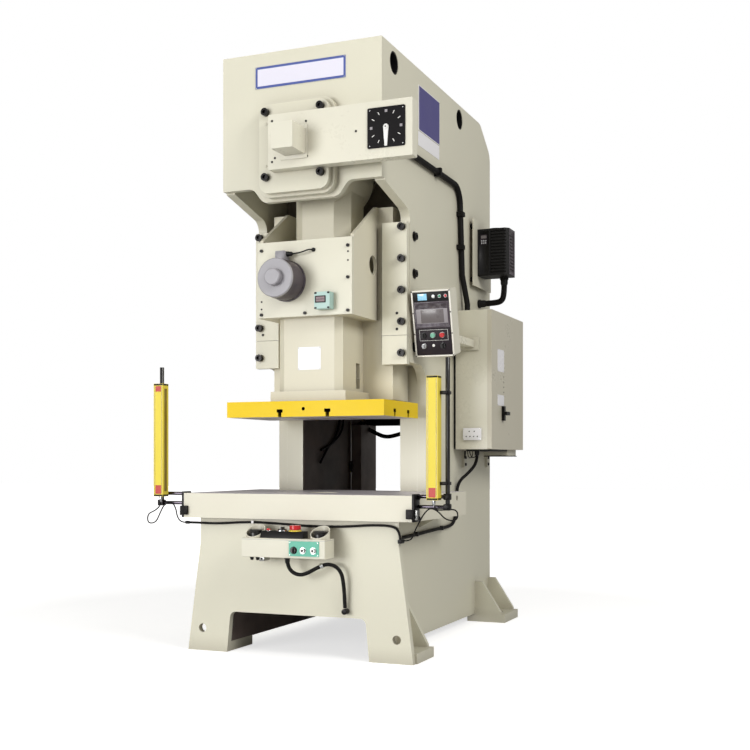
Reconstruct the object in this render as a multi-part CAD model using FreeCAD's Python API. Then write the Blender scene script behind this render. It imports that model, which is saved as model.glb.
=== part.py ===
import FreeCAD, Part
import math
import os

os.makedirs("parts", exist_ok=True)
V = FreeCAD.Vector

# Gap-frame stamping press. X runs across the press from its centre, Y runs back from the
# front of the bed, Z up from the floor, in millimetres. At the end everything is moved so
# that the origin is the middle of the four anchor bolts.

# ---- fits and clearances -------------------------------------------------------------
seat_gap = 0.3
slide_fit = 0.1
journal_fit = 0.05
button_gap = 0.5

# ---- anchor bolts and feet -----------------------------------------------------------
anchor_half_span = 560.0
anchor_front_y = 130.0
anchor_rear_y = 1680.0
anchor_hole_radius = 18.0
foot_inner_x = 392.0
foot_outer_x = 628.0
foot_thickness = 50.0
front_foot_length = 235.0
rear_foot_y = 1536.0
rear_foot_length = 290.0
foot_gusset_thickness = 26.0
front_gusset_height = 310.0
rear_gusset_height = 192.0
gusset_toe_x = 602.0
gusset_toe_height = 12.0
rear_gusset_flat = 46.0

# ---- side plates and crown -----------------------------------------------------------
frame_half_width = 440.0
side_plate_thickness = 50.0
crown_front_y = 45.0
front_plate_thickness = 35.0
crown_top_rise = 490.0
crown_back_y = 1642.0
frame_back_y = 1850.0
back_corner_drop = 145.0
back_corner_radius = 90.0
crown_bottom_z = 2352.0
crown_knee_z = 2262.0
knee_radius = 62.0
column_front_y = 430.0
throat_top_z = 1480.0
throat_back_y = 673.0
throat_radius = 104.0
bed_top_z = 682.0
side_bottom_z = 48.0
lift_hole_radius = 57.0
lift_hole_drop = 82.0
lift_hole_front_y = 209.0
lift_hole_rear_y = 1244.0
lobe_half_width = 208.0
lobe_shoulder_x = 265.0
lobe_bottom_z = 2277.0
lobe_radius = 48.0
top_plate_thickness = 24.0
rear_plate_thickness = 35.0
rear_window_top_z = 1198.0
rear_window_bottom_z = 700.0
wall_thickness = 40.0
front_wall_y = 675.0
middle_wall_y = 940.0
rear_wall_y = 1440.0
wall_bottom_z = 2010.0
rear_wall_top_z = 2440.0
wall_boss_radius = 175.0
wall_boss_length = 35.0
column_flange_width = 98.0
column_flange_thickness = 30.0
rear_strip_width = 69.0
rear_strip_depth = 244.0
rear_strip_y = 1571.0

# ---- bed -----------------------------------------------------------------------------
bed_half_width = 546.0
bed_foot_half_width = 620.0
bed_flare_z = 561.0
bed_flare_radius = 260.0
arch_half_bottom = 392.0
arch_half_top = 372.0
arch_top_z = 207.0
arch_radius = 32.0
jack_hole_x = 535.0
jack_hole_z = 115.0
jack_hole_radius = 22.0
bed_plate_thickness = 40.0
bed_plate_back_y = 800.0
bed_bracket_reach = 120.0
bed_bracket_drop = 62.0
bed_bracket_y = 560.0
bed_bracket_thickness = 28.0

# ---- bolster -------------------------------------------------------------------------
bolster_half_width = 625.0
bolster_front_y = -34.0
bolster_back_y = 793.0
bolster_thickness = 125.0
bolster_notch_gap = 7.0
bolster_bore_radius = 75.0
bolster_bore_y = 318.0
tapped_radius = 8.5
tapped_depth = 45.0
tapped_spacing_x = 300.0
tapped_rows_y = (128.0, 508.0)
crane_hole_y = 641.0
crane_hole_drop = 31.0
crane_hole_radius = 14.0
crane_hole_depth = 60.0

# ---- gibs ----------------------------------------------------------------------------
gib_lap = 90.0
gib_edge_inset = 3.0
gib_thickness = 38.0
gib_bottom_z = 1469.0
gib_split_z = 1617.0
gib_top_z = 2200.0
gib_seam = 2.0
guide_rail_width = 45.0
guide_depth = 220.0
rear_gib_thickness = 20.0
bolt_head_radius = 19.0
bolt_head_height = 24.0
bolt_socket_radius = 10.0
bolt_socket_depth = 12.0
gib_bolt_inset = 29.0
gib_bolt_heights = (2174.0, 2011.0, 1849.0, 1687.0, 1526.0)
left_bolt_heights = (2174.0, 1687.0, 1526.0)
side_bolt_heights = (2140.0, 1946.0, 1563.0)
side_bolt_y = 492.0
side_bolt_head_height = 16.0

# ---- crank, housing and cover --------------------------------------------------------
crank_z = 2545.0
crank_throw = 80.0
journal_radius = 110.0
pin_radius = 115.0
web_thickness = 60.0
web_front_y = 187.0
pin_length = 310.0
web_radius = 132.0
boss_half_width = 205.0
boss_bottom_z = 2290.0
boss_top_z = 2764.0
boss_radius = 62.0
boss_thickness = 40.0
cover_half_width = 190.0
cover_bottom_z = 2304.0
cover_top_z = 2746.0
cover_radius = 52.0
cover_thickness = 35.0
cover_bolt_x = 151.0
cover_bolt_heights = (2382.0, 2706.0)
housing_radius = 170.0
housing_length = 100.0

# ---- gears and drive inside the crown ------------------------------------------------
gear_teeth = 60
pinion_teeth = 12
gear_module = 11.0
tooth_addendum = 4.0
tooth_depth = 17.0
gear_y = 790.0
gear_width = 100.0
gear_web_radius = 250.0
gear_hub_radius = 165.0
shaft_radius = 45.0
shaft_end_y = 1735.0
brake_radius = 210.0
brake_width = 45.0
brake_y = 1330.0
flywheel_radius = 300.0
flywheel_width = 130.0
flywheel_y = 1545.0
flywheel_rim = 60.0
flywheel_web = 40.0
flywheel_hub_radius = 95.0
motor_drop = 255.0
motor_radius = 145.0
motor_front_y = 1090.0
motor_length = 400.0
motor_shaft_radius = 24.0
pulley_radius = 75.0
belt_width = 70.0
belt_thickness = 8.0

# ---- connecting rod ------------------------------------------------------------------
rod_half_width = 157.0
rod_chamfer = 68.0
rod_depth = 300.0
rod_big_radius = 186.0
rod_bottom_z = 1798.0
rod_ball_radius = 110.0

# ---- slide ---------------------------------------------------------------------------
slide_half_width = 262.0
slide_wall = 18.0
slide_front_y = 90.0
slide_cover_thickness = 25.0
slide_box_bottom_z = 1700.0
slide_cover_top_z = 2083.0
slide_floor = 45.0
slide_top_z = 2290.0
slide_top_y = 405.0
slide_block_bottom_z = 1290.0
slide_back_wall = 25.0
slide_back_top_z = 2150.0
slide_hole_y = 364.0
slide_hole_z = 1982.0
slide_hole_radius = 50.0
neck_half_width = 178.0
neck_front_y = 147.0
neck_chamfer_x = 37.0
neck_chamfer_y = 24.0
neck_bottom_z = 1326.0
foot_half_width = 210.0
foot_front_y = 129.0
foot_back_y = 520.0
knockout_y = 360.0
knockout_width = 48.0
knockout_bottom_z = 1345.0
knockout_height = 132.0
knockout_bar_height = 52.0
knockout_travel = 75.0
wheel_radius = 150.0
wheel_thickness = 30.0
wheel_hub_radius = 60.0

# ---- slide plate ---------------------------------------------------------------------
plate_half_width = 437.5
shut_height = 387.0
plate_front_y = 80.0
plate_back_y = 556.0
plate_thickness = 80.0
slot_x = 133.0
slot_side_y = (224.0, 413.0)
slot_side_reach = 180.0
slot_width = 20.0
slot_head_width = 34.0
slot_lip = 22.0
slot_head_height = 17.0
shank_radius = 25.0
clamp_hole_radius = 9.0
clamp_hole_depth = 60.0

# ---- adjusting motor and counter -----------------------------------------------------
adjust_x = -94.0
adjust_z = 1880.0
adjust_radius = 104.0
adjust_face_radius = 96.0
adjust_body_length = 116.0
adjust_face_length = 24.0
adjust_hub_radius = 36.0
adjust_hub_length = 33.0
adjust_box_width = 46.0
adjust_box_height = 44.0
adjust_box_depth = 60.0
counter_x = 121.0
counter_z = 1768.0
counter_width = 84.0
counter_height = 84.0
counter_depth = 48.0

# ---- indicator box, dial and encoder -------------------------------------------------
box_left_x = -107.0
box_right_x = 651.0
box_bottom_z = 2402.0
box_top_z = 2672.0
box_depth = 64.0
box_edge_radius = 5.0
dial_x = 520.0
dial_size = 191.0
dial_thickness = 4.0
dial_corner = 7.0
dial_bore_radius = 7.0
pointer_length = 90.0
pointer_root = 13.0
pointer_tip = 6.0
pointer_thickness = 5.0
encoder_x = 42.0
encoder_z = 2523.0
encoder_width = 112.0
encoder_height = 124.0
encoder_depth = 146.0

# ---- blank plates --------------------------------------------------------------------
blank_thickness = 2.5
front_blank_half_width = 250.0
front_blank_drop = 69.0
front_blank_height = 110.0
side_blank_front_y = 556.0
side_blank_back_y = 886.0
side_blank_drop = 85.0
side_blank_height = 238.0

# ---- electric cabinet ----------------------------------------------------------------
cabinet_gap = 15.0
cabinet_depth = 213.0
cabinet_front_y = 1128.0
cabinet_back_y = 1800.0
cabinet_bottom_z = 1037.0
cabinet_top_z = 1828.0
cabinet_wall = 6.0
door_thickness = 26.0
door_gap = 0.3
door_skin = 4.0
door_rim = 16.0
rail_ys = (1290.0, 1745.0)
rail_width = 40.0
rail_drop = 105.0
gland_box_inset = 50.0
gland_box_length = 190.0
gland_box_height = 36.0
outlet_offset = 100.0
outlet_z = 1123.0
outlet_width = 107.0
outlet_height = 69.0
handle_y = 1345.0
handle_z = 1246.0
handle_length = 84.0
handle_width = 30.0
handle_thickness = 16.0
handle_post_radius = 9.0
handle_post_length = 34.0
handle_knob_length = 46.0

# ---- operator panel ------------------------------------------------------------------
panel_offset = 122.5
panel_width = 211.0
panel_height = 341.5
panel_depth = 95.0
panel_bottom_y = 480.0
panel_bottom_z = 1510.0
panel_tilt = 13.55
panel_face_margin = 9.0
panel_face_thickness = 4.0
arm_offset = 100.0
arm_z = 1636.0
arm_width = 56.0
arm_height = 40.0
arm_flange_width = 108.0
arm_flange_height = 74.0
arm_flange_thickness = 10.0
key_radius = 11.0
push_radius = 12.0
push_height = 12.0
push_depth = 18.0
push_travel = 4.0
knob_radius = 13.5
knob_stem_radius = 8.0
knob_height = 20.0
knob_grip = 7.0
upper_row = 111.0
lower_row = 56.0
left_column = -55.0
middle_column = -3.0
right_column = 47.0

# ---- drive unit ----------------------------------------------------------------------
mount_plate_gap = 23.0
mount_plate_thickness = 6.0
mount_plate_front_y = 1418.0
mount_plate_back_y = 1777.0
mount_plate_bottom_z = 2015.0
mount_plate_top_z = 2413.0
spacer_radius = 14.0
spacer_inset = 40.0
unit_width = 190.0
unit_front_y = 1500.0
unit_depth = 145.0
unit_bottom_z = 2080.0
unit_top_z = 2360.0
unit_chamfer = 22.0
fin_count = 14
fin_left = 80.0
fin_depth = 7.0
drive_hose_diameter = 36.0
drive_hose_y = 1612.0
drive_hose_z = 1928.0
drive_hose_bend = 118.0
drive_hose_straight = 44.0
drive_gland_radius = 26.0

# ---- conduit along the frame side ----------------------------------------------------
conduit_diameter = 32.0
conduit_z = 2546.0
conduit_back_y = 1206.0
conduit_bend = 110.0
conduit_gap = 1.0
conduit_drift = 70.0
conduit_clip_width = 26.0
conduit_clip_wall = 6.0
conduit_clip_y = 800.0
conduit_clip_heights = (2380.0, 2191.0, 1900.0)

# ---- light curtains ------------------------------------------------------------------
curtain_width = 56.0
curtain_depth = 52.0
curtain_bottom_z = 788.0
curtain_top_z = 1371.0
curtain_right_x = 733.0
curtain_right_y = -26.0
curtain_left_x = -768.0
curtain_left_y = -26.0
lens_width = 26.0
lens_recess = 4.0
post_radius = 11.0
post_x = 788.0
post_y = 14.0
post_bottom_z = 742.0
post_top_z = 1460.0
stand_rod_radius = 9.0
stand_rod_heights = (803.0, 754.0)
stand_plate_thickness = 14.0
stand_plate_depth = 72.0
stand_plate_top_z = 815.0
stand_lug_width = 26.0
stand_lug_height = 46.0
clamp_heights = (1293.0, 866.0)
clamp_height = 16.0
clamp_wall = 3.0
curtain_cable_diameter = 6.5
bed_cable_diameter = 12.0
bed_cable_y = -8.3
sleeve_radius = 8.0
sleeve_start_x = -632.0
bed_cable_z = 655.0
sleeve_length = 26.0
junction_width = 20.0
junction_bottom_z = 578.0
junction_height = 18.0
cabinet_cable_diameter = 18.0

# ---- two-hand control box ------------------------------------------------------------
control_half_width = 224.0
control_front_y = -147.0
control_depth = 109.0
control_bottom_z = 502.0
control_top_z = 595.0
control_radius = 3.0
control_hanger_x = 150.0
control_hanger_width = 40.0
control_hanger_height = 30.0
strip_left_x = -135.0
strip_right_x = 95.0
strip_height = 34.0
strip_depth = 62.0
strip_slope = 14.0
palm_x = 176.0
palm_y = -95.0
palm_radius = 32.0
palm_height = 30.0
palm_stem_radius = 14.0
palm_rise = 8.0
stem_depth = 24.0
stem_bore_depth = 34.0
guard_radius = 47.5
guard_wall = 4.0
guard_low = 4.0
guard_high = 62.0
stop_x = 42.0
stop_radius = 27.0
stop_height = 20.0
stop_collar_height = 9.0
stop_stem_radius = 12.0
top_knob_x = -28.0
top_knob_radius = 22.0
teal_center_x = 115.0
teal_width = 160.0
teal_height = 72.0
teal_thickness = 3.0
teal_button_xs = (-54.0, -4.0, 51.0)
teal_button_z = 541.0
control_hose_diameter = 19.0

# ---- derived places ------------------------------------------------------------------
origin_y = (anchor_front_y + anchor_rear_y) / 2
inner_x = frame_half_width - side_plate_thickness
crown_top_z = crank_z + crown_top_rise
lift_hole_z = crown_top_z - lift_hole_drop
back_corner_z = crown_top_z - back_corner_drop
motor_z = crown_top_z - motor_drop
front_blank_top_z = crown_top_z - front_blank_drop
front_blank_bottom_z = front_blank_top_z - front_blank_height
side_blank_top_z = crown_top_z - side_blank_drop
side_blank_bottom_z = side_blank_top_z - side_blank_height
guide_half_width = inner_x - guide_rail_width
gib_inner_x = inner_x - gib_lap
gib_outer_x = frame_half_width - gib_edge_inset
gib_bolt_x = frame_half_width - gib_bolt_inset
cabinet_inner_x = frame_half_width + cabinet_gap
cabinet_outer_x = cabinet_inner_x + cabinet_depth
outlet_x = cabinet_inner_x + outlet_offset
panel_x = frame_half_width + panel_offset
arm_x = frame_half_width + arm_offset
mount_plate_x = frame_half_width + mount_plate_gap
crown_back_of_front = crown_front_y + front_plate_thickness
bolster_top_z = bed_top_z + bolster_thickness
guide_front_y = column_front_y + slide_fit
guide_back_y = guide_front_y + guide_depth
plate_bottom_z = bolster_top_z + shut_height
plate_top_z = plate_bottom_z + plate_thickness
pin_front_y = web_front_y + web_thickness
pin_back_y = pin_front_y + pin_length
rod_front_y = pin_front_y + (pin_length - rod_depth) / 2
rod_back_y = rod_front_y + rod_depth
pin_z = crank_z - crank_throw
cover_front_y = crown_front_y - boss_thickness - cover_thickness
box_front_y = cover_front_y - box_depth
slide_cover_back_y = slide_front_y + slide_cover_thickness
gear_radius = gear_module * gear_teeth / 2
pinion_radius = gear_module * pinion_teeth / 2
shaft_z = crank_z - gear_radius - pinion_radius
control_back_y = control_front_y + control_depth
unit_x = mount_plate_x + mount_plate_thickness


# ---- drawing helpers -----------------------------------------------------------------
def block(x0, x1, y0, y1, z0, z1):
    return Part.makeBox(x1 - x0, y1 - y0, z1 - z0, V(x0, y0, z0))


def cylinder(radius, length, base, axis):
    return Part.makeCylinder(radius, length, base, axis)


def rounded_wire(points, radii):
    """Closed wire through the points with an arc of the given radius at each corner."""
    count = len(points)
    starts = []
    ends = []
    arcs = []
    for i in range(count):
        corner = points[i]
        to_last = points[i - 1].sub(corner)
        to_next = points[(i + 1) % count].sub(corner)
        if radii[i] <= 0:
            starts.append(corner)
            ends.append(corner)
            arcs.append(None)
            continue
        to_last.normalize()
        to_next.normalize()
        half = to_last.getAngle(to_next) / 2
        reach = radii[i] / math.tan(half)
        bisector = to_last.add(to_next)
        bisector.normalize()
        centre = corner.add(bisector.multiply(radii[i] / math.sin(half)))
        first = corner.add(to_last.multiply(reach))
        last = corner.add(to_next.multiply(reach))
        inward = corner.sub(centre)
        inward.normalize()
        middle = centre.add(inward.multiply(radii[i]))
        starts.append(first)
        ends.append(last)
        arcs.append(Part.Arc(first, middle, last).toShape())
    edges = []
    for i in range(count):
        if arcs[i] is not None:
            edges.append(arcs[i])
        following = starts[(i + 1) % count]
        if ends[i].sub(following).Length > 1e-6:
            edges.append(Part.LineSegment(ends[i], following).toShape())
    return Part.Wire(edges)


def prism_x(corners, x0, x1):
    """Prism along X from (y, z, corner radius) triples."""
    points = [V(x0, y, z) for y, z, r in corners]
    wire = rounded_wire(points, [r for y, z, r in corners])
    return Part.Face(wire).extrude(V(x1 - x0, 0, 0))


def prism_y(corners, y0, y1):
    """Prism along Y from (x, z, corner radius) triples."""
    points = [V(x, y0, z) for x, z, r in corners]
    wire = rounded_wire(points, [r for x, z, r in corners])
    return Part.Face(wire).extrude(V(0, y1 - y0, 0))


def prism_z(corners, z0, z1):
    """Prism along Z from (x, y, corner radius) triples."""
    points = [V(x, y, z0) for x, y, r in corners]
    wire = rounded_wire(points, [r for x, y, r in corners])
    return Part.Face(wire).extrude(V(0, 0, z1 - z0))


def mirrored(shape):
    return shape.mirror(V(0, 0, 0), V(1, 0, 0))


def both_sides(shape):
    return [shape, mirrored(shape)]


def fused(shapes):
    result = shapes[0]
    for other in shapes[1:]:
        result = result.fuse(other)
    return result.removeSplitter()


def without(shape, cutters):
    for cutter in cutters:
        shape = shape.cut(cutter)
    return shape


def tube(points, diameter):
    """Tube along straight runs joined by tangent arcs."""
    edges = []
    place = points[0]
    least = None
    for i in range(1, len(points) - 1):
        corner = points[i]
        back = points[i - 1].sub(corner)
        ahead = points[i + 1].sub(corner)
        shorter = min(back.Length, ahead.Length)
        back.normalize()
        ahead.normalize()
        turn = math.pi - back.getAngle(ahead)
        reach = 0.45 * shorter
        radius = reach / math.tan(turn / 2)
        least = radius if least is None else min(least, radius)
        first = corner.add(V(back).multiply(reach))
        last = corner.add(V(ahead).multiply(reach))
        bisector = back.add(ahead)
        bisector.normalize()
        offset = radius / math.cos(turn / 2) - radius
        middle = corner.add(bisector.multiply(offset))
        edges.append(Part.LineSegment(place, first).toShape())
        edges.append(Part.Arc(first, middle, last).toShape())
        place = last
    edges.append(Part.LineSegment(place, points[-1]).toShape())
    path = Part.Wire(edges)
    heading = points[1].sub(points[0])
    ring = Part.Wire(Part.makeCircle(diameter / 2, points[0], heading))
    solid = path.makePipeShell([ring], True, False)
    print("tube", round(diameter, 1), "length", round(path.Length, 1), "least radius",
          round(least, 1) if least else None)
    return solid


def socket_bolt(place, axis, height):
    head = cylinder(bolt_head_radius, height, place, axis)
    top = place.add(V(axis).multiply(height - bolt_socket_depth))
    socket = cylinder(bolt_socket_radius, bolt_socket_depth, top, axis)
    return head.cut(socket)


def gear_blank(teeth, radius, y0, y1, phase):
    """Spur gear outline with straight-sided teeth, drawn about the Y axis."""
    outer = radius + tooth_addendum
    root = radius - tooth_depth
    pitch = 2 * math.pi / teeth
    points = []
    for i in range(teeth):
        middle = phase + i * pitch
        for radial, share in ((root, -0.26), (outer, -0.17), (outer, 0.17), (root, 0.26)):
            angle = middle + share * pitch
            points.append(V(radial * math.sin(angle), y0, radial * math.cos(angle)))
    points.append(points[0])
    return Part.Face(Part.makePolygon(points)).extrude(V(0, y1 - y0, 0))


def save(name, shapes):
    shape = shapes[0] if len(shapes) == 1 else Part.makeCompound(shapes)
    shape = shape.copy()
    shape.translate(V(0, -origin_y, 0))
    shape.exportStep("parts/" + name + ".step")


# ---- frame ---------------------------------------------------------------------------
def side_plates():
    outline = [
        (crown_back_of_front, crown_top_z, 0),
        (crown_back_y, crown_top_z, back_corner_radius),
        (frame_back_y, back_corner_z, back_corner_radius),
        (frame_back_y, side_bottom_z, 0),
        (front_plate_thickness, side_bottom_z, 0),
        (front_plate_thickness, bed_top_z, 0),
        (throat_back_y, bed_top_z, 0),
        (throat_back_y, throat_top_z, throat_radius),
        (column_front_y, throat_top_z, 0),
        (column_front_y, crown_knee_z, knee_radius),
        (crown_back_of_front, crown_bottom_z - 8, 0),
    ]
    plate = prism_x(outline, inner_x, frame_half_width)
    for y in (lift_hole_front_y, lift_hole_rear_y):
        hole = cylinder(lift_hole_radius, side_plate_thickness, V(inner_x, y, lift_hole_z), V(1, 0, 0))
        plate = plate.cut(hole)
    for y0, length in ((front_plate_thickness, front_foot_length), (rear_foot_y, rear_foot_length)):
        notch = block(inner_x, frame_half_width, y0, y0 + length, 0, foot_thickness)
        plate = plate.cut(notch)
    save("side_plates", both_sides(plate))


def crown_front_plate():
    w = frame_half_width
    outline = [
        (-w, crown_top_z, 0),
        (w, crown_top_z, 0),
        (w, crown_bottom_z, 0),
        (lobe_shoulder_x, crown_bottom_z, lobe_radius),
        (lobe_half_width, lobe_bottom_z, lobe_radius),
        (-lobe_half_width, lobe_bottom_z, lobe_radius),
        (-lobe_shoulder_x, crown_bottom_z, lobe_radius),
        (-w, crown_bottom_z, 0),
    ]
    plate = prism_y(outline, crown_front_y, crown_back_of_front)
    bore = cylinder(housing_radius, front_plate_thickness, V(0, crown_front_y, crank_z), V(0, 1, 0))
    save("crown_front_plate", [plate.cut(bore)])


def crown_top_plate():
    t = top_plate_thickness
    outline = [
        (crown_back_of_front, crown_top_z, 0),
        (crown_back_y, crown_top_z, back_corner_radius),
        (frame_back_y, back_corner_z, back_corner_radius),
        (frame_back_y, back_corner_z - 3 * t, 0),
        (frame_back_y - t, back_corner_z - 3 * t, 0),
        (frame_back_y - t, back_corner_z - t / 2, back_corner_radius - t),
        (crown_back_y - t / 3, crown_top_z - t, back_corner_radius - t),
        (crown_back_of_front, crown_top_z - t, 0),
    ]
    save("crown_top_plate", [prism_x(outline, -inner_x, inner_x)])


def bearing_walls():
    top = crown_top_z - top_plate_thickness
    walls = []
    for y in (front_wall_y, middle_wall_y):
        wall = block(-inner_x, inner_x, y, y + wall_thickness, wall_bottom_z, top)
        boss = cylinder(wall_boss_radius, wall_thickness + wall_boss_length,
                        V(0, y - wall_boss_length, crank_z), V(0, 1, 0))
        bore = cylinder(journal_radius + journal_fit, wall_thickness + wall_boss_length,
                        V(0, y - wall_boss_length, crank_z), V(0, 1, 0))
        passage = cylinder(shaft_radius + journal_fit, wall_thickness, V(0, y, shaft_z), V(0, 1, 0))
        walls.append(without(wall.fuse(boss), [bore, passage]))
    wall = block(-inner_x, inner_x, rear_wall_y, rear_wall_y + wall_thickness, wall_bottom_z,
                 rear_wall_top_z)
    passage = cylinder(shaft_radius + journal_fit, wall_thickness, V(0, rear_wall_y, shaft_z), V(0, 1, 0))
    walls.append(wall.cut(passage))
    save("bearing_walls", walls)


def rear_plates():
    t = rear_plate_thickness
    upper = block(-inner_x, inner_x, frame_back_y - t, frame_back_y, rear_window_top_z,
                  back_corner_z - 3 * top_plate_thickness)
    lower = block(-inner_x, inner_x, frame_back_y - t, frame_back_y, foot_thickness,
                  rear_window_bottom_z)
    flange = block(inner_x - column_flange_width, inner_x, throat_back_y,
                   throat_back_y + column_flange_thickness, bed_top_z, throat_top_z)
    strip = block(inner_x - rear_strip_width, inner_x, rear_strip_y, rear_strip_y + rear_strip_depth,
                  rear_window_bottom_z, rear_window_top_z)
    save("rear_plates", [upper, lower] + both_sides(flange) + both_sides(strip))


def bed_front_plate():
    right = [
        (bed_half_width, bed_top_z, 0),
        (bed_half_width, bed_flare_z, bed_flare_radius),
        (bed_foot_half_width, 0, 0),
        (arch_half_bottom, 0, 0),
        (arch_half_top, arch_top_z, arch_radius),
    ]
    left = [(-x, z, r) for x, z, r in reversed(right)]
    plate = prism_y(right + left, 0, front_plate_thickness)
    holes = []
    for x in (-jack_hole_x, jack_hole_x):
        holes.append(cylinder(jack_hole_radius, front_plate_thickness, V(x, 0, jack_hole_z), V(0, 1, 0)))
    save("bed_front_plate", [without(plate, holes)])


def bed_plates():
    z0 = bed_top_z - bed_plate_thickness
    top = block(-inner_x, inner_x, front_plate_thickness, bed_plate_back_y, z0, bed_top_z)
    drop = cylinder(bolster_bore_radius, bed_plate_thickness, V(0, bolster_bore_y, z0), V(0, 0, 1))
    outline = [
        (frame_half_width, bed_top_z, 0),
        (frame_half_width + bed_bracket_reach, bed_top_z, 0),
        (frame_half_width, bed_top_z - bed_bracket_drop, 0),
    ]
    bracket = prism_y(outline, bed_bracket_y, bed_bracket_y + bed_bracket_thickness)
    save("bed_plates", [top.cut(drop)] + both_sides(bracket))


def feet():
    t = foot_gusset_thickness
    front = block(foot_inner_x, foot_outer_x, front_plate_thickness,
                  front_plate_thickness + front_foot_length, 0, foot_thickness)
    front_edge = front_plate_thickness + front_foot_length
    outline = [
        (frame_half_width, foot_thickness, 0),
        (gusset_toe_x, foot_thickness, 0),
        (gusset_toe_x, foot_thickness + gusset_toe_height, 0),
        (frame_half_width, foot_thickness + front_gusset_height, 0),
    ]
    front_gusset = prism_y(outline, front_edge - t, front_edge)
    front = front.fuse(front_gusset)
    rear = block(foot_inner_x, foot_outer_x, rear_foot_y, rear_foot_y + rear_foot_length, 0,
                 foot_thickness)
    outline = [
        (frame_half_width, foot_thickness, 0),
        (gusset_toe_x, foot_thickness, 0),
        (gusset_toe_x, foot_thickness + gusset_toe_height, 0),
        (frame_half_width + rear_gusset_flat, foot_thickness + rear_gusset_height, 0),
        (frame_half_width, foot_thickness + rear_gusset_height, 0),
    ]
    for y in (rear_foot_y, rear_foot_y + rear_foot_length - t):
        rear = rear.fuse(prism_y(outline, y, y + t))
    shapes = []
    for foot, y in ((front, anchor_front_y), (rear, anchor_rear_y)):
        hole = cylinder(anchor_hole_radius, foot_thickness, V(anchor_half_span, y, 0), V(0, 0, 1))
        shapes += both_sides(foot.cut(hole).removeSplitter())
    save("feet", shapes)


def bolster():
    top = bolster_top_z
    body = block(-bolster_half_width, bolster_half_width, bolster_front_y, bolster_back_y,
                 bed_top_z, top)
    notch = block(inner_x - column_flange_width - bolster_notch_gap,
                  frame_half_width + bolster_notch_gap, throat_back_y - bolster_notch_gap,
                  bolster_back_y, bed_top_z, top)
    cutters = both_sides(notch)
    cutters.append(cylinder(bolster_bore_radius, bolster_thickness, V(0, bolster_bore_y, bed_top_z),
                            V(0, 0, 1)))
    for y in tapped_rows_y:
        for i in range(4):
            x = (i - 1.5) * tapped_spacing_x
            cutters.append(cylinder(tapped_radius, tapped_depth, V(x, y, top - tapped_depth), V(0, 0, 1)))
    hole = cylinder(crane_hole_radius, crane_hole_depth,
                    V(bolster_half_width - crane_hole_depth, crane_hole_y, top - crane_hole_drop),
                    V(1, 0, 0))
    cutters += both_sides(hole)
    save("bolster", [without(body, cutters)])


def gibs():
    y1 = column_front_y
    y0 = y1 - gib_thickness
    lower = block(gib_inner_x, gib_outer_x, y0, y1, gib_bottom_z, gib_split_z)
    upper = block(gib_inner_x, gib_outer_x, y0, y1, gib_split_z + gib_seam, gib_top_z)
    rail = block(guide_half_width + slide_fit, inner_x, y1, guide_back_y, throat_top_z, gib_top_z)
    rear = block(gib_inner_x, inner_x, guide_back_y + slide_fit,
                 guide_back_y + slide_fit + rear_gib_thickness, throat_top_z, gib_top_z)
    shapes = []
    for piece in (lower, upper, rail, rear):
        shapes += both_sides(piece)
    save("gibs", shapes)


def frame_bolts():
    shapes = []
    for z in gib_bolt_heights:
        bolt = socket_bolt(V(gib_bolt_x, column_front_y - gib_thickness, z), V(0, -1, 0),
                           bolt_head_height)
        shapes.append(bolt)
        if z in left_bolt_heights:
            shapes.append(mirrored(bolt))
    for z in side_bolt_heights:
        bolt = socket_bolt(V(frame_half_width, side_bolt_y, z), V(1, 0, 0), side_bolt_head_height)
        shapes += both_sides(bolt)
    for z in cover_bolt_heights:
        bolt = socket_bolt(V(cover_bolt_x, cover_front_y, z), V(0, -1, 0), bolt_head_height)
        shapes += both_sides(bolt)
    save("frame_bolts", shapes)


# ---- crank and its housing -----------------------------------------------------------
def rounded_box_y(half_width, z0, z1, radius, y0, y1):
    outline = [
        (-half_width, z0, radius),
        (half_width, z0, radius),
        (half_width, z1, radius),
        (-half_width, z1, radius),
    ]
    return prism_y(outline, y0, y1)


def crank_housing():
    y0 = crown_front_y - boss_thickness
    boss = rounded_box_y(boss_half_width, boss_bottom_z, boss_top_z, boss_radius, y0, crown_front_y)
    spigot = cylinder(housing_radius, front_plate_thickness + housing_length,
                      V(0, crown_front_y, crank_z), V(0, 1, 0))
    bore = cylinder(journal_radius + journal_fit, boss_thickness + front_plate_thickness + housing_length,
                    V(0, y0, crank_z), V(0, 1, 0))
    save("crank_housing", [boss.fuse(spigot).cut(bore).removeSplitter()])
    cover = rounded_box_y(cover_half_width, cover_bottom_z, cover_top_z, cover_radius, cover_front_y,
                          y0)
    save("crank_cover", [cover])


def crank_web(y0):
    points = [V(-web_radius, y0, crank_z), V(0, y0, crank_z + web_radius), V(web_radius, y0, crank_z)]
    low = [V(web_radius, y0, pin_z), V(0, y0, pin_z - web_radius), V(-web_radius, y0, pin_z)]
    edges = [
        Part.Arc(points[0], points[1], points[2]).toShape(),
        Part.LineSegment(points[2], low[0]).toShape(),
        Part.Arc(low[0], low[1], low[2]).toShape(),
        Part.LineSegment(low[2], points[0]).toShape(),
    ]
    return Part.Face(Part.Wire(edges)).extrude(V(0, web_thickness, 0))


def crankshaft():
    front_end = crown_front_y - boss_thickness + seat_gap
    rear_end = middle_wall_y + wall_thickness
    front = cylinder(journal_radius, web_front_y - front_end, V(0, front_end, crank_z), V(0, 1, 0))
    web_a = crank_web(web_front_y)
    web_b = crank_web(pin_back_y)
    pin = cylinder(pin_radius, pin_length, V(0, pin_front_y, pin_z), V(0, 1, 0))
    rear_y = pin_back_y + web_thickness
    rear = cylinder(journal_radius, rear_end - rear_y, V(0, rear_y, crank_z), V(0, 1, 0))
    save("crankshaft", [fused([front, web_a, pin, web_b, rear])])


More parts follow.
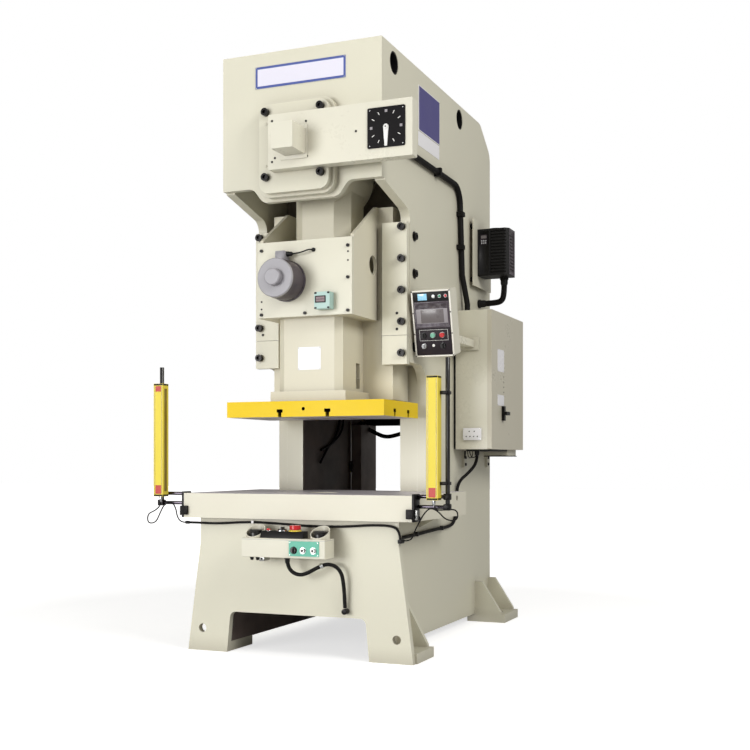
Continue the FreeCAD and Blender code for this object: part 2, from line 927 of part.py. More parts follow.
def main_gear():
    wheel = gear_blank(gear_teeth, gear_radius, gear_y, gear_y + gear_width, 0.0)
    wheel.translate(V(0, 0, crank_z))
    recess = gear_width / 4
    for y in (gear_y, gear_y + gear_width - recess):
        ring = cylinder(gear_web_radius, recess, V(0, y, crank_z), V(0, 1, 0))
        core = cylinder(gear_hub_radius, recess, V(0, y, crank_z), V(0, 1, 0))
        wheel = wheel.cut(ring.cut(core))
    bore = cylinder(journal_radius, gear_width, V(0, gear_y, crank_z), V(0, 1, 0))
    save("main_gear", [wheel.cut(bore)])


def pinion_shaft():
    phase = math.pi / pinion_teeth
    pinion = gear_blank(pinion_teeth, pinion_radius, gear_y, gear_y + gear_width, phase)
    pinion.translate(V(0, 0, shaft_z))
    shaft = cylinder(shaft_radius, shaft_end_y - front_wall_y, V(0, front_wall_y, shaft_z), V(0, 1, 0))
    brake = cylinder(brake_radius, brake_width, V(0, brake_y, shaft_z), V(0, 1, 0))
    save("pinion_shaft", [fused([shaft, pinion, brake])])


def flywheel():
    y0 = flywheel_y
    y1 = flywheel_y + flywheel_width
    middle = (y0 + y1) / 2
    rim = flywheel_radius - flywheel_rim
    hub = flywheel_hub_radius
    half_web = flywheel_web / 2
    bore = shaft_radius + journal_fit
    profile = [
        V(bore, y0, 0),
        V(hub, y0, 0),
        V(hub, middle - half_web, 0),
        V(rim, middle - half_web, 0),
        V(rim, y0, 0),
        V(flywheel_radius, y0, 0),
        V(flywheel_radius, y1, 0),
        V(rim, y1, 0),
        V(rim, middle + half_web, 0),
        V(hub, middle + half_web, 0),
        V(hub, y1, 0),
        V(bore, y1, 0),
        V(bore, y0, 0),
    ]
    wheel = Part.Face(Part.makePolygon(profile)).revolve(V(0, 0, 0), V(0, 1, 0), 360)
    wheel.translate(V(0, 0, shaft_z))
    save("flywheel", [wheel])


def belt_loop(low_radius, high_radius, y0, y1):
    """Flat loop round the two rims, its straight runs tangent to both."""
    distance = motor_z - shaft_z
    tilt = math.asin((low_radius - high_radius) / distance)
    c = math.cos(tilt)
    s = math.sin(tilt)
    low = V(low_radius * c, y0, shaft_z + low_radius * s)
    high = V(high_radius * c, y0, motor_z + high_radius * s)
    low_left = V(-low.x, y0, low.z)
    high_left = V(-high.x, y0, high.z)
    edges = [
        Part.LineSegment(low, high).toShape(),
        Part.Arc(high, V(0, y0, motor_z + high_radius), high_left).toShape(),
        Part.LineSegment(high_left, low_left).toShape(),
        Part.Arc(low_left, V(0, y0, shaft_z - low_radius), low).toShape(),
    ]
    return Part.Face(Part.Wire(edges)).extrude(V(0, y1 - y0, 0))


def belt_drive():
    y0 = flywheel_y + (flywheel_width - belt_width) / 2
    y1 = y0 + belt_width
    inside = belt_loop(flywheel_radius + seat_gap, pulley_radius + seat_gap, y0, y1)
    outside = belt_loop(flywheel_radius + seat_gap + belt_thickness,
                        pulley_radius + seat_gap + belt_thickness, y0, y1)
    save("drive_belt", [outside.cut(inside)])
    wheel = cylinder(pulley_radius, belt_width, V(0, y0, motor_z), V(0, 1, 0))
    bore = cylinder(motor_shaft_radius, belt_width, V(0, y0, motor_z), V(0, 1, 0))
    stub = cylinder(motor_shaft_radius, y1 - motor_front_y - motor_length - seat_gap,
                    V(0, motor_front_y + motor_length + seat_gap, motor_z), V(0, 1, 0))
    save("motor_pulley", [wheel.cut(bore).fuse(stub).removeSplitter()])
    body = cylinder(motor_radius, motor_length, V(0, motor_front_y, motor_z), V(0, 1, 0))
    foot = block(-motor_radius, motor_radius, motor_front_y + motor_length / 8,
                 motor_front_y + motor_length * 7 / 8, motor_z + motor_radius / 2,
                 crown_top_z - top_plate_thickness)
    save("motor_body", [fused([body, foot])])


# ---- connecting rod ------------------------------------------------------------------
def con_rod():
    w = rod_half_width
    c = rod_chamfer
    outline = [
        (-w, rod_front_y + c, 0),
        (-w + c, rod_front_y, 0),
        (w - c, rod_front_y, 0),
        (w, rod_front_y + c, 0),
        (w, rod_back_y - c, 0),
        (w - c, rod_back_y, 0),
        (-w + c, rod_back_y, 0),
        (-w, rod_back_y - c, 0),
    ]
    shank = prism_z(outline, rod_bottom_z + rod_ball_radius / 2, pin_z)
    head = cylinder(rod_big_radius, rod_depth, V(0, rod_front_y, pin_z), V(0, 1, 0))
    bore = cylinder(pin_radius + journal_fit, rod_depth, V(0, rod_front_y, pin_z), V(0, 1, 0))
    middle = (rod_front_y + rod_back_y) / 2
    ball = cylinder(rod_ball_radius, rod_ball_radius, V(0, middle, rod_bottom_z), V(0, 0, 1))
    save("con_rod", [fused([shank, head, ball]).cut(bore)])


# ---- slide ---------------------------------------------------------------------------
def slide_body():
    w = slide_half_width
    y0 = slide_cover_back_y
    slope = (slide_top_z - slide_cover_top_z) / (slide_top_y - slide_front_y)
    start_z = slide_cover_top_z + slope * slide_cover_thickness
    wall_outline = [
        (y0, slide_box_bottom_z, 0),
        (guide_back_y, slide_box_bottom_z, 0),
        (guide_back_y, slide_top_z, 0),
        (slide_top_y, slide_top_z, 12),
        (y0, start_z, 0),
    ]
    wall = prism_x(wall_outline, w - slide_wall, w)
    window = cylinder(slide_hole_radius, slide_wall, V(w - slide_wall, slide_hole_y, slide_hole_z),
                      V(1, 0, 0))
    wall = wall.cut(window)
    guide = block(w - slide_wall, guide_half_width, guide_front_y, guide_back_y, slide_block_bottom_z,
                  slide_top_z)
    floor = block(-w, w, y0, guide_back_y, slide_box_bottom_z, slide_box_bottom_z + slide_floor)
    back = block(-w, w, guide_back_y - slide_back_wall, guide_back_y, slide_box_bottom_z,
                 slide_back_top_z)
    lower = block(-guide_half_width, guide_half_width, guide_front_y, guide_back_y,
                  slide_block_bottom_z, slide_box_bottom_z)
    n = neck_half_width
    neck_outline = [
        (-n, neck_front_y + neck_chamfer_y, 0),
        (-n + neck_chamfer_x, neck_front_y, 0),
        (n - neck_chamfer_x, neck_front_y, 0),
        (n, neck_front_y + neck_chamfer_y, 0),
        (n, guide_back_y, 0),
        (-n, guide_back_y, 0),
    ]
    neck = prism_z(neck_outline, slide_block_bottom_z, slide_box_bottom_z)
    foot = block(-foot_half_width, foot_half_width, foot_front_y, foot_back_y, plate_top_z,
                 neck_bottom_z)
    solid = fused(both_sides(wall) + both_sides(guide) + [floor, back, lower, neck, foot])
    slot = block(-n, n, knockout_y - knockout_width / 2, knockout_y + knockout_width / 2,
                 knockout_bottom_z, knockout_bottom_z + knockout_height)
    shank = cylinder(shank_radius, knockout_bottom_z - plate_top_z, V(0, knockout_y, plate_top_z),
                     V(0, 0, 1))
    solid = without(solid, [slot, shank])
    save("slide_body", [solid.removeSplitter()])
    cover = block(-w, w, slide_front_y, slide_cover_back_y, slide_box_bottom_z, slide_cover_top_z)
    save("slide_cover", [cover])
    bar = block(-n, n, knockout_y - knockout_width / 2 + seat_gap,
                knockout_y + knockout_width / 2 - seat_gap, knockout_bottom_z + seat_gap,
                knockout_bottom_z + seat_gap + knockout_bar_height)
    save("knockout_bar", [bar])


def adjusting_wheel():
    z0 = slide_box_bottom_z + slide_floor + seat_gap
    middle = (rod_front_y + rod_back_y) / 2
    rim = cylinder(wheel_radius, wheel_thickness, V(0, middle, z0), V(0, 0, 1))
    bore = cylinder(wheel_hub_radius, wheel_thickness, V(0, middle, z0), V(0, 0, 1))
    save("adjusting_wheel", [rim.cut(bore)])


def tee_slot_y(x):
    stem = block(x - slot_width / 2, x + slot_width / 2, plate_front_y, plate_back_y, plate_bottom_z,
                 plate_bottom_z + slot_lip)
    head = block(x - slot_head_width / 2, x + slot_head_width / 2, plate_front_y, plate_back_y,
                 plate_bottom_z + slot_lip, plate_bottom_z + slot_lip + slot_head_height)
    return stem.fuse(head)


def tee_slot_x(y):
    x0 = plate_half_width - slot_side_reach
    stem = block(x0, plate_half_width, y - slot_width / 2, y + slot_width / 2, plate_bottom_z,
                 plate_bottom_z + slot_lip)
    head = block(x0, plate_half_width, y - slot_head_width / 2, y + slot_head_width / 2,
                 plate_bottom_z + slot_lip, plate_bottom_z + slot_lip + slot_head_height)
    return stem.fuse(head)


def slide_plate():
    plate = block(-plate_half_width, plate_half_width, plate_front_y, plate_back_y, plate_bottom_z,
                  plate_top_z)
    cutters = both_sides(tee_slot_y(slot_x))
    for y in slot_side_y:
        cutters += both_sides(tee_slot_x(y))
    cutters.append(cylinder(shank_radius, plate_thickness, V(0, knockout_y, plate_bottom_z), V(0, 0, 1)))
    cutters.append(cylinder(clamp_hole_radius, clamp_hole_depth,
                            V(0, plate_front_y, plate_bottom_z + plate_thickness / 2), V(0, 1, 0)))
    save("slide_plate", [without(plate, cutters)])


def adjust_motor():
    front = slide_front_y
    body = cylinder(adjust_radius, adjust_body_length, V(adjust_x, front, adjust_z), V(0, -1, 0))
    face_y = front - adjust_body_length
    face = Part.makeCone(adjust_radius, adjust_face_radius, adjust_face_length,
                         V(adjust_x, face_y, adjust_z), V(0, -1, 0))
    hub_y = face_y - adjust_face_length
    hub = cylinder(adjust_hub_radius, adjust_hub_length, V(adjust_x, hub_y, adjust_z), V(0, -1, 0))
    box = block(adjust_x - adjust_box_width / 2, adjust_x + adjust_box_width / 2, front - adjust_box_depth,
                front, adjust_z + adjust_radius - adjust_box_height / 4,
                adjust_z + adjust_radius + adjust_box_height)
    save("adjust_motor", [fused([body, face, hub, box])])
    counter = block(counter_x - counter_width / 2, counter_x + counter_width / 2, front - counter_depth,
                    front, counter_z - counter_height / 2, counter_z + counter_height / 2)
    save("stroke_counter", [counter])


# ---- indicator box -------------------------------------------------------------------
def indicator():
    r = box_edge_radius
    outline = [
        (box_left_x, box_bottom_z, r),
        (box_right_x, box_bottom_z, r),
        (box_right_x, box_top_z, r),
        (box_left_x, box_top_z, r),
    ]
    box = prism_y(outline, box_front_y, cover_front_y)
    notches = []
    for z in cover_bolt_heights:
        for x in (-cover_bolt_x, cover_bolt_x):
            notches.append(cylinder(bolt_head_radius + seat_gap, bolt_head_height + seat_gap,
                                    V(x, cover_front_y, z), V(0, -1, 0)))
    box = without(box, notches)
    cover = block(encoder_x - encoder_width / 2, encoder_x + encoder_width / 2,
                  box_front_y - encoder_depth, box_front_y, encoder_z - encoder_height / 2,
                  encoder_z + encoder_height / 2)
    save("indicator_box", [box.fuse(cover)])
    h = dial_size / 2
    dial_outline = [
        (dial_x - h, crank_z - h, dial_corner),
        (dial_x + h, crank_z - h, dial_corner),
        (dial_x + h, crank_z + h, dial_corner),
        (dial_x - h, crank_z + h, dial_corner),
    ]
    dial_front = box_front_y - dial_thickness
    dial = prism_y(dial_outline, dial_front, box_front_y)
    bore = cylinder(dial_bore_radius, dial_thickness, V(dial_x, dial_front, crank_z), V(0, 1, 0))
    save("dial_face", [dial.cut(bore)])
    hand_front = dial_front - pointer_thickness - seat_gap
    hand_outline = [
        (dial_x - pointer_root, crank_z, 0),
        (dial_x - pointer_tip, crank_z - pointer_length, 0),
        (dial_x + pointer_tip, crank_z - pointer_length, 0),
        (dial_x + pointer_root, crank_z, 0),
    ]
    hand = prism_y(hand_outline, hand_front, hand_front + pointer_thickness)
    hub = cylinder(pointer_root, pointer_thickness, V(dial_x, hand_front, crank_z), V(0, 1, 0))
    spindle = cylinder(dial_bore_radius - journal_fit, dial_thickness + pointer_thickness,
                       V(dial_x, hand_front, crank_z), V(0, 1, 0))
    save("dial_pointer", [fused([hand, hub, spindle])])


def blank_plates():
    front = block(-front_blank_half_width, front_blank_half_width, crown_front_y - blank_thickness,
                  crown_front_y, front_blank_bottom_z, front_blank_top_z)
    side = block(frame_half_width, frame_half_width + blank_thickness, side_blank_front_y,
                 side_blank_back_y, side_blank_bottom_z, side_blank_top_z)
    outlet = block(outlet_x - outlet_width / 2, outlet_x + outlet_width / 2,
                   cabinet_front_y - 4 * blank_thickness, cabinet_front_y,
                   outlet_z - outlet_height / 2, outlet_z + outlet_height / 2)
    save("surface_plates", [front, side, outlet])


# ---- cabinet -------------------------------------------------------------------------
def cabinet():
    t = cabinet_wall
    x0 = cabinet_inner_x
    x1 = cabinet_outer_x - door_thickness - door_gap
    shell = block(x0, x1, cabinet_front_y, cabinet_back_y, cabinet_bottom_z, cabinet_top_z)
    hollow = block(x0 + t, x1, cabinet_front_y + t, cabinet_back_y - t, cabinet_bottom_z + t,
                   cabinet_top_z - t)
    shell = shell.cut(hollow)
    rails = []
    for y in rail_ys:
        rails.append(block(frame_half_width, x0, y, y + rail_width, cabinet_bottom_z - rail_drop,
                           cabinet_top_z - t))
    duct_back_y = cabinet_back_y - gland_box_inset
    duct = block(x0 + rail_width, x1 - t, duct_back_y - gland_box_length, duct_back_y,
                 cabinet_bottom_z - gland_box_height, cabinet_bottom_z)
    save("cabinet_body", [fused([shell, duct] + rails)])
    door_x = cabinet_outer_x - door_thickness
    door_outline = [
        (cabinet_front_y, cabinet_bottom_z, 5),
        (cabinet_back_y, cabinet_bottom_z, 5),
        (cabinet_back_y, cabinet_top_z, 5),
        (cabinet_front_y, cabinet_top_z, 5),
    ]
    door = prism_x(door_outline, door_x, cabinet_outer_x)
    bore = cylinder(handle_post_radius + journal_fit, door_thickness, V(door_x, handle_y, handle_z),
                    V(1, 0, 0))
    pocket = block(door_x, cabinet_outer_x - door_skin, cabinet_front_y + door_rim,
                   cabinet_back_y - door_rim, cabinet_bottom_z + door_rim, cabinet_top_z - door_rim)
    save("cabinet_door", [without(door, [bore, pocket])])
    base_x = cabinet_outer_x + seat_gap
    post = cylinder(handle_post_radius, door_thickness + handle_thickness, V(door_x, handle_y, handle_z),
                    V(1, 0, 0))
    plate = block(base_x, base_x + handle_thickness, handle_y - handle_width / 2,
                  handle_y + handle_width / 2, handle_z - handle_length / 2,
                  handle_z + handle_length / 2)
    stem = cylinder(handle_post_radius, handle_post_length, V(base_x, handle_y, handle_z), V(1, 0, 0))
    knob_x = base_x + handle_post_length
    knob = block(knob_x - handle_thickness, knob_x, handle_y - handle_knob_length / 2,
                 handle_y + handle_knob_length, handle_z - handle_width / 3, handle_z + handle_width / 3)
    save("door_handle", [fused([post, plate, stem, knob])])


# ---- operator panel ------------------------------------------------------------------
def tilted(shape):
    shape = shape.copy()
    shape.rotate(V(0, 0, 0), V(1, 0, 0), panel_tilt)
    shape.translate(V(panel_x, panel_bottom_y, panel_bottom_z))
    return shape


def push_button(x, z, front):
    """Plain plunger that stands out of the face and runs in a bore behind it."""
    return cylinder(push_radius, push_height + push_depth, V(x, front - push_height, z), V(0, 1, 0))


def turn_knob(x, z, front, radius):
    base = cylinder(radius, knob_height / 2, V(x, front - button_gap, z), V(0, -1, 0))
    grip = block(x - knob_grip / 2, x + knob_grip / 2, front - button_gap - knob_height,
                 front - button_gap, z - radius * 0.9, z + radius * 0.9)
    stem = cylinder(knob_stem_radius, button_gap + push_depth, V(x, front - button_gap, z), V(0, 1, 0))
    return fused([base, grip, stem])


def control_bore(x, z, front, kind):
    radius = push_radius if kind == "push" else knob_stem_radius
    depth = push_depth + push_travel + button_gap
    return cylinder(radius + button_gap, depth, V(x, front, z), V(0, 1, 0))


def operator_panel():
    w = panel_width / 2
    r = 9
    outline = [
        (-w, 0, r),
        (w, 0, r),
        (w, panel_height, r),
        (-w, panel_height, r),
    ]
    body = prism_y(outline, 0, panel_depth)
    m = panel_face_margin
    face = block(-w + m, w - m, -panel_face_thickness, 0, m, panel_height - m)
    places = [
        ("panel_selector", left_column, upper_row, "knob"),
        ("panel_start_button", middle_column, upper_row, "push"),
        ("panel_stop_button", right_column, upper_row, "push"),
        ("panel_key_switch", left_column, lower_row, "key"),
        ("panel_mode_selector", right_column, lower_row, "knob"),
    ]
    front = -panel_face_thickness
    for name, x, z, kind in places:
        bore = control_bore(x, z, front, kind)
        body = body.cut(bore)
        face = face.cut(bore)
        if kind == "push":
            control = push_button(x, z, front)
        else:
            control = turn_knob(x, z, front, key_radius if kind == "key" else knob_radius)
        save(name, [tilted(control)])
    save("panel_face", [tilted(face)])
    body = tilted(body)
    flange = block(arm_x - arm_flange_width / 2, arm_x + arm_flange_width / 2,
                   cabinet_front_y - arm_flange_thickness, cabinet_front_y,
                   arm_z - arm_flange_height / 2, arm_z + arm_flange_height / 2)
    arm = block(arm_x - arm_width / 2, arm_x + arm_width / 2, panel_bottom_y + panel_depth / 2,
                cabinet_front_y - arm_flange_thickness, arm_z - arm_height / 2, arm_z + arm_height / 2)
    arm = arm.cut(body)
    arm = max(arm.Solids, key=lambda s: s.BoundBox.YMax)
    save("operator_panel", [body.fuse(arm).fuse(flange).removeSplitter()])


# ---- drive unit ----------------------------------------------------------------------
def drive_unit():
    x0 = unit_x
    x1 = unit_x + unit_width
    y0 = unit_front_y
    y1 = unit_front_y + unit_depth
    outline = [
        (x0, y0, 0),
        (x1 - unit_chamfer, y0, 0),
        (x1, y0 + unit_chamfer, 0),
        (x1, y1, 0),
        (x0, y1, 0),
    ]
    body = prism_z(outline, unit_bottom_z, unit_top_z)
    pitch = (unit_top_z - unit_bottom_z) / (fin_count + 1)
    grooves = []
    for i in range(fin_count):
        z = unit_bottom_z + (i + 0.75) * pitch
        grooves.append(block(x0 + fin_left, x1, y0, y0 + fin_depth, z, z + pitch / 2))
    save("drive_unit", [without(body, grooves)])
    plate = block(mount_plate_x, mount_plate_x + mount_plate_thickness, mount_plate_front_y,
                  mount_plate_back_y, mount_plate_bottom_z, mount_plate_top_z)
    pieces = [plate]
    for y in (mount_plate_front_y + spacer_inset, mount_plate_back_y - spacer_inset):
        for z in (mount_plate_bottom_z + spacer_inset, mount_plate_top_z - spacer_inset):
            pieces.append(cylinder(spacer_radius, mount_plate_x - frame_half_width,
                                   V(frame_half_width, y, z), V(1, 0, 0)))
    save("drive_bracket", [fused(pieces)])


def drive_hose():
    z = drive_hose_z
    y = drive_hose_y
    x0 = frame_half_width + drive_hose_straight
    r = drive_hose_bend
    centre = V(x0, y, z + r)
    first = V(x0, y, z)
    last = V(x0 + r, y, z + r)
    middle = centre.add(V(r * math.sin(math.pi / 4), 0, -r * math.cos(math.pi / 4)))
    edges = [
        Part.LineSegment(V(frame_half_width, y, z), first).toShape(),
        Part.Arc(first, middle, last).toShape(),
        Part.LineSegment(last, V(last.x, y, unit_bottom_z)).toShape(),
    ]
    path = Part.Wire(edges)
    ring = Part.Wire(Part.makeCircle(drive_hose_diameter / 2, V(frame_half_width, y, z), V(1, 0, 0)))
    hose = path.makePipeShell([ring], True, False)
    gland = cylinder(drive_gland_radius, drive_hose_straight * 0.8, V(frame_half_width, y, z), V(1, 0, 0))
    collar = cylinder(drive_gland_radius, drive_hose_straight / 2,
                      V(last.x, y, unit_bottom_z - drive_hose_straight / 2), V(0, 0, 1))
    save("drive_hose", [fused([hose, gland, collar])])


# ---- conduit -------------------------------------------------------------------------
def conduit():
    r = conduit_diameter / 2
    x = frame_half_width + conduit_gap + r
    z = conduit_z
    y = conduit_back_y
    b = conduit_bend
    start = V(x, cover_front_y, z)
    end = V(cabinet_inner_x + cabinet_wall + r, y + conduit_drift, cabinet_top_z)
    low = V(end.x, end.y, end.z + b / 2)
    down = V(x, y + conduit_drift / 2, cabinet_top_z + 2 * b)
    edges = [
        Part.LineSegment(start, V(x, y - b, z)).toShape(),
        Part.Arc(V(x, y - b, z), V(x, y - b + b * math.sin(math.pi / 4), z - b + b * math.cos(math.pi / 4)),
                 V(x, y, z - b)).toShape(),
        Part.LineSegment(V(x, y, z - b), down).toShape(),
        Part.LineSegment(down, low).toShape(),
        Part.LineSegment(low, end).toShape(),
    ]
    path = Part.Wire(edges)
    ring = Part.Wire(Part.makeCircle(r, start, V(0, 1, 0)))
    pipe = path.makePipeShell([ring], True, False, 2)
    w = conduit_clip_width
    t = conduit_clip_wall
    clips = [block(frame_half_width, x + r + t, conduit_clip_y, conduit_clip_y + w, z - r - t, z + r + t)]
    for height in conduit_clip_heights:
        if height > down.z:
            clips.append(block(frame_half_width, x + r + t, y - r - t, y + r + t, height, height + w))
    save("conduit", [fused([pipe] + clips)])


# ---- light curtains ------------------------------------------------------------------
def curtain(x, y, lens_side):
    w = curtain_width / 2
    d = curtain_depth / 2
    body = block(x - w, x + w, y - d, y + d, curtain_bottom_z, curtain_top_z)
    face = x + lens_side * w
    lens = block(min(face, face - lens_side * lens_recess), max(face, face - lens_side * lens_recess),
                 y - lens_width / 2, y + lens_width / 2, curtain_bottom_z + lens_width,
                 curtain_top_z - lens_width)
    return body.cut(lens)


def stand():
    """Plate on the bolster's end, two rods and the post, drawn on the right."""
    x0 = bolster_half_width
    x1 = x0 + stand_plate_thickness
    y0 = bolster_front_y
    plate = block(x0, x1, y0, y0 + stand_plate_depth, bed_top_z, stand_plate_top_z)
    lug = block(x0 - stand_lug_width, x1, y0 - stand_plate_thickness, y0,
                bed_top_z + stand_plate_thickness, bed_top_z + stand_plate_thickness + stand_lug_height)
    pieces = [plate, lug]
    for z in stand_rod_heights:
        pieces.append(cylinder(stand_rod_radius, post_x - x1, V(x1, post_y, z), V(1, 0, 0)))
    pieces.append(cylinder(post_radius, post_top_z - post_bottom_z, V(post_x, post_y, post_bottom_z),
                           V(0, 0, 1)))
    return pieces


def curtains():
    right = stand()
    left = stand()
    wrap = post_radius + clamp_wall
    reach = curtain_right_x + curtain_width / 2
    back = curtain_left_y + curtain_depth / 2
    for z in clamp_heights:
        low = z - clamp_height / 2
        right.append(block(reach, post_x + wrap, curtain_right_y + clamp_wall, post_y + wrap, low,
                           low + clamp_height))
        left.append(block(post_x - wrap, post_x + wrap, back, post_y + wrap, low, low + clamp_height))
    save("curtain_stands", [fused(right), mirrored(fused(left))])
    save("curtain_bodies", [curtain(curtain_right_x, curtain_right_y, -1),
                            curtain(curtain_left_x, curtain_left_y, 1)])


def cables():
    left = [
        V(curtain_left_x, curtain_left_y, curtain_bottom_z),
        V(curtain_left_x, curtain_left_y, 742),
        V(-806, -26, 712),
        V(-850, -26, 696),
        V(-850, -26, 646),
        V(-800, -26, 650),
        V(-780, -19, 698),
        V(-758, -11, 748),
        V(-714, -7, 760),
        V(-690, -7, 726),
        V(-684, -7, 686),
        V(-660, bed_cable_y, bed_cable_z),
        V(sleeve_start_x, bed_cable_y, bed_cable_z),
    ]
    right = [
        V(curtain_right_x, curtain_right_y, curtain_bottom_z),
        V(curtain_right_x, curtain_right_y, 742),
        V(779, -25, 742),
        V(848, -22, 748),
        V(850, -20, 694),
        V(790, -18, 694),
        V(749, -11, 736),
        V(708, -8, 752),
        V(676, -8, 722),
        V(652, -6, 680),
        V(624, 2, 634),
        V(606, 12, 590),
        V(bed_half_width + junction_width, 12, 590),
    ]
    save("curtain_cables", [tube(right, curtain_cable_diameter), tube(left, curtain_cable_diameter)])
    y = bed_cable_y
    start = sleeve_start_x + sleeve_length
    junction_x = bed_half_width + junction_width / 2
    junction_top = junction_bottom_z + junction_height
    front = [
        V(start, y, bed_cable_z),
        V(-540, y, bed_cable_z),
        V(-450, y, bed_cable_z - 3),
        V(-250, y, bed_cable_z + 11),
        V(-60, y, bed_cable_z + 3),
        V(80, y, bed_cable_z - 5),
        V(260, y, bed_cable_z - 4),
        V(400, y, bed_cable_z + 8),
        V(523, y, bed_cable_z + 7),
        V(junction_x, y, bed_cable_z - 26),
        V(junction_x, y, junction_top),
    ]
    z = cabinet_bottom_z
    x = frame_half_width + cabinet_cable_diameter / 2 + seat_gap
    side = [
        V(cabinet_inner_x + 85, 1262, z),
        V(cabinet_inner_x + 85, 1262, z - 75),
        V(cabinet_inner_x + 53, 1216, z - 132),
        V(x + 6, 1170, z - 187),
        V(x, 1156, z - 277),
        V(x, 1156, z - 363),
        V(x, 1108, z - 423),
        V(x, 1010, z - 436),
        V(x, 764, z - 440),
        V(x, 533, z - 448),
        V(x, 343, z - 453),
        V(x, 140, z - 456),
        V(x, front_plate_thickness, z - 456),
    ]
    sleeve = cylinder(sleeve_radius, sleeve_length, V(sleeve_start_x, y, bed_cable_z), V(1, 0, 0))
    junction = block(bed_half_width, bed_half_width + junction_width, y - sleeve_radius,
                     front_plate_thickness - sleeve_radius, junction_bottom_z, junction_top)
    save("frame_cables", [tube(front, bed_cable_diameter).fuse(sleeve).fuse(junction),
                          tube(side, cabinet_cable_diameter)])


# ---- two-hand control box ------------------------------------------------------------
def guard(x):
    z0 = control_top_z
    tall = guard_high
    outer = cylinder(guard_radius, tall, V(x, palm_y, z0), V(0, 0, 1))
    inner = cylinder(guard_radius - guard_wall, tall, V(x, palm_y, z0), V(0, 0, 1))
    ring = outer.cut(inner)
    r = guard_radius
    slope = [
        (palm_y - r, z0 + guard_low, 0),
        (palm_y + r, z0 + guard_high, 0),
        (palm_y + r, z0 + 2 * guard_high, 0),
        (palm_y - r, z0 + 2 * guard_high, 0),
    ]
    return ring.cut(prism_x(slope, x - 2 * r, x + 2 * r))


def palm_button(x):
    z0 = control_top_z + palm_rise
    stem = cylinder(palm_stem_radius, palm_rise + stem_depth, V(x, palm_y, control_top_z - stem_depth),
                    V(0, 0, 1))
    skirt = cylinder(palm_radius, palm_height / 2, V(x, palm_y, z0), V(0, 0, 1))
    dome = Part.makeCone(palm_radius, palm_radius * 0.55, palm_height / 2,
                         V(x, palm_y, z0 + palm_height / 2), V(0, 0, 1))
    return fused([stem, skirt, dome])


def control_box():
    r = control_radius
    outline = [
        (control_front_y, control_bottom_z, r),
        (control_back_y, control_bottom_z, r),
        (control_back_y, control_top_z, r),
        (control_front_y, control_top_z, r),
    ]
    w = control_half_width
    body = prism_x(outline, -w, w)
    d = strip_depth / 2
    strip_outline = [
        (palm_y - d, control_top_z, 0),
        (palm_y + d, control_top_z, 0),
        (palm_y + d, control_top_z + strip_height, 0),
        (palm_y - d + strip_slope, control_top_z + strip_height, 0),
    ]
    strip = prism_x(strip_outline, strip_left_x, strip_right_x)
    hanger = block(control_hanger_x - control_hanger_width / 2, control_hanger_x + control_hanger_width / 2,
                   control_back_y, 0, control_top_z - control_hanger_height - r, control_top_z - r)
    guards = both_sides(guard(palm_x))
    box = fused([body, strip] + both_sides(hanger) + guards)
    cutters = []
    for x in (-palm_x, palm_x):
        cutters.append(cylinder(palm_stem_radius + button_gap, stem_bore_depth,
                                V(x, palm_y, control_top_z - stem_bore_depth), V(0, 0, 1)))
    strip_top = control_top_z + strip_height
    for x in (stop_x, top_knob_x):
        cutters.append(cylinder(stop_stem_radius + button_gap, stem_bore_depth,
                                V(x, palm_y, strip_top - stem_bore_depth), V(0, 0, 1)))
    teal_front = control_front_y - teal_thickness
    teal = block(teal_center_x - teal_width / 2, teal_center_x + teal_width / 2, teal_front,
                 control_front_y, teal_button_z - teal_height / 2 + 8, teal_button_z + teal_height / 2 + 8)
    names = ("front_selector", "front_run_button", "front_jog_button")
    for name, dx in zip(names, teal_button_xs):
        x = teal_center_x + dx
        kind = "knob" if name == "front_selector" else "push"
        bore = control_bore(x, teal_button_z, teal_front, kind)
        cutters.append(bore)
        teal = teal.cut(bore)
        if kind == "knob":
            control = turn_knob(x, teal_button_z, teal_front, knob_radius)
        else:
            control = push_button(x, teal_button_z, teal_front)
        save(name, [control])
    save("control_box", [without(box, cutters)])
    save("control_plate", [teal])
    palm = palm_button(palm_x)
    save("palm_button_right", [palm])
    save("palm_button_left", [mirrored(palm)])
    z0 = strip_top + stop_collar_height
    stem = cylinder(stop_stem_radius, stem_depth + stop_collar_height,
                    V(stop_x, palm_y, strip_top - stem_depth), V(0, 0, 1))
    cap = cylinder(stop_radius, stop_height, V(stop_x, palm_y, z0), V(0, 0, 1))
    save("emergency_stop", [stem.fuse(cap)])
    z0 = strip_top + button_gap
    stem = cylinder(stop_stem_radius, stem_depth, V(top_knob_x, palm_y, z0 - stem_depth), V(0, 0, 1))
    base = cylinder(top_knob_radius, knob_height / 2, V(top_knob_x, palm_y, z0), V(0, 0, 1))
    grip = block(top_knob_x - knob_grip / 2, top_knob_x + knob_grip / 2, palm_y - top_knob_radius * 0.9,
                 palm_y + top_knob_radius * 0.9, z0, z0 + knob_height)
    save("control_selector", [fused([stem, base, grip])])


def control_hose():
    z0 = control_bottom_z
    y0 = palm_y
    points = [
        V(0, y0, z0),
        V(0, y0, z0 - 37),
        V(20, y0 + 1, z0 - 69),
        V(54, y0 + 4, z0 - 85),
        V(93, y0 + 8, z0 - 81),
        V(155, y0 + 18, z0 - 46),
        V(201, y0 + 29, z0 - 28),
        V(241, y0 + 39, z0 - 38),
        V(266, y0 + 49, z0 - 70),
        V(273, y0 + 56, z0 - 112),
        V(276, y0 + 64, z0 - 172),
        V(276, y0 + 71, z0 - 243),
    ]
    free = tube(points, control_hose_diameter)
    end = points[-1]
    socket = cylinder(control_hose_diameter * 0.75, 24, V(end.x, -24, end.z - 18), V(0, 1, 0))
    save("control_hose", [free, socket])


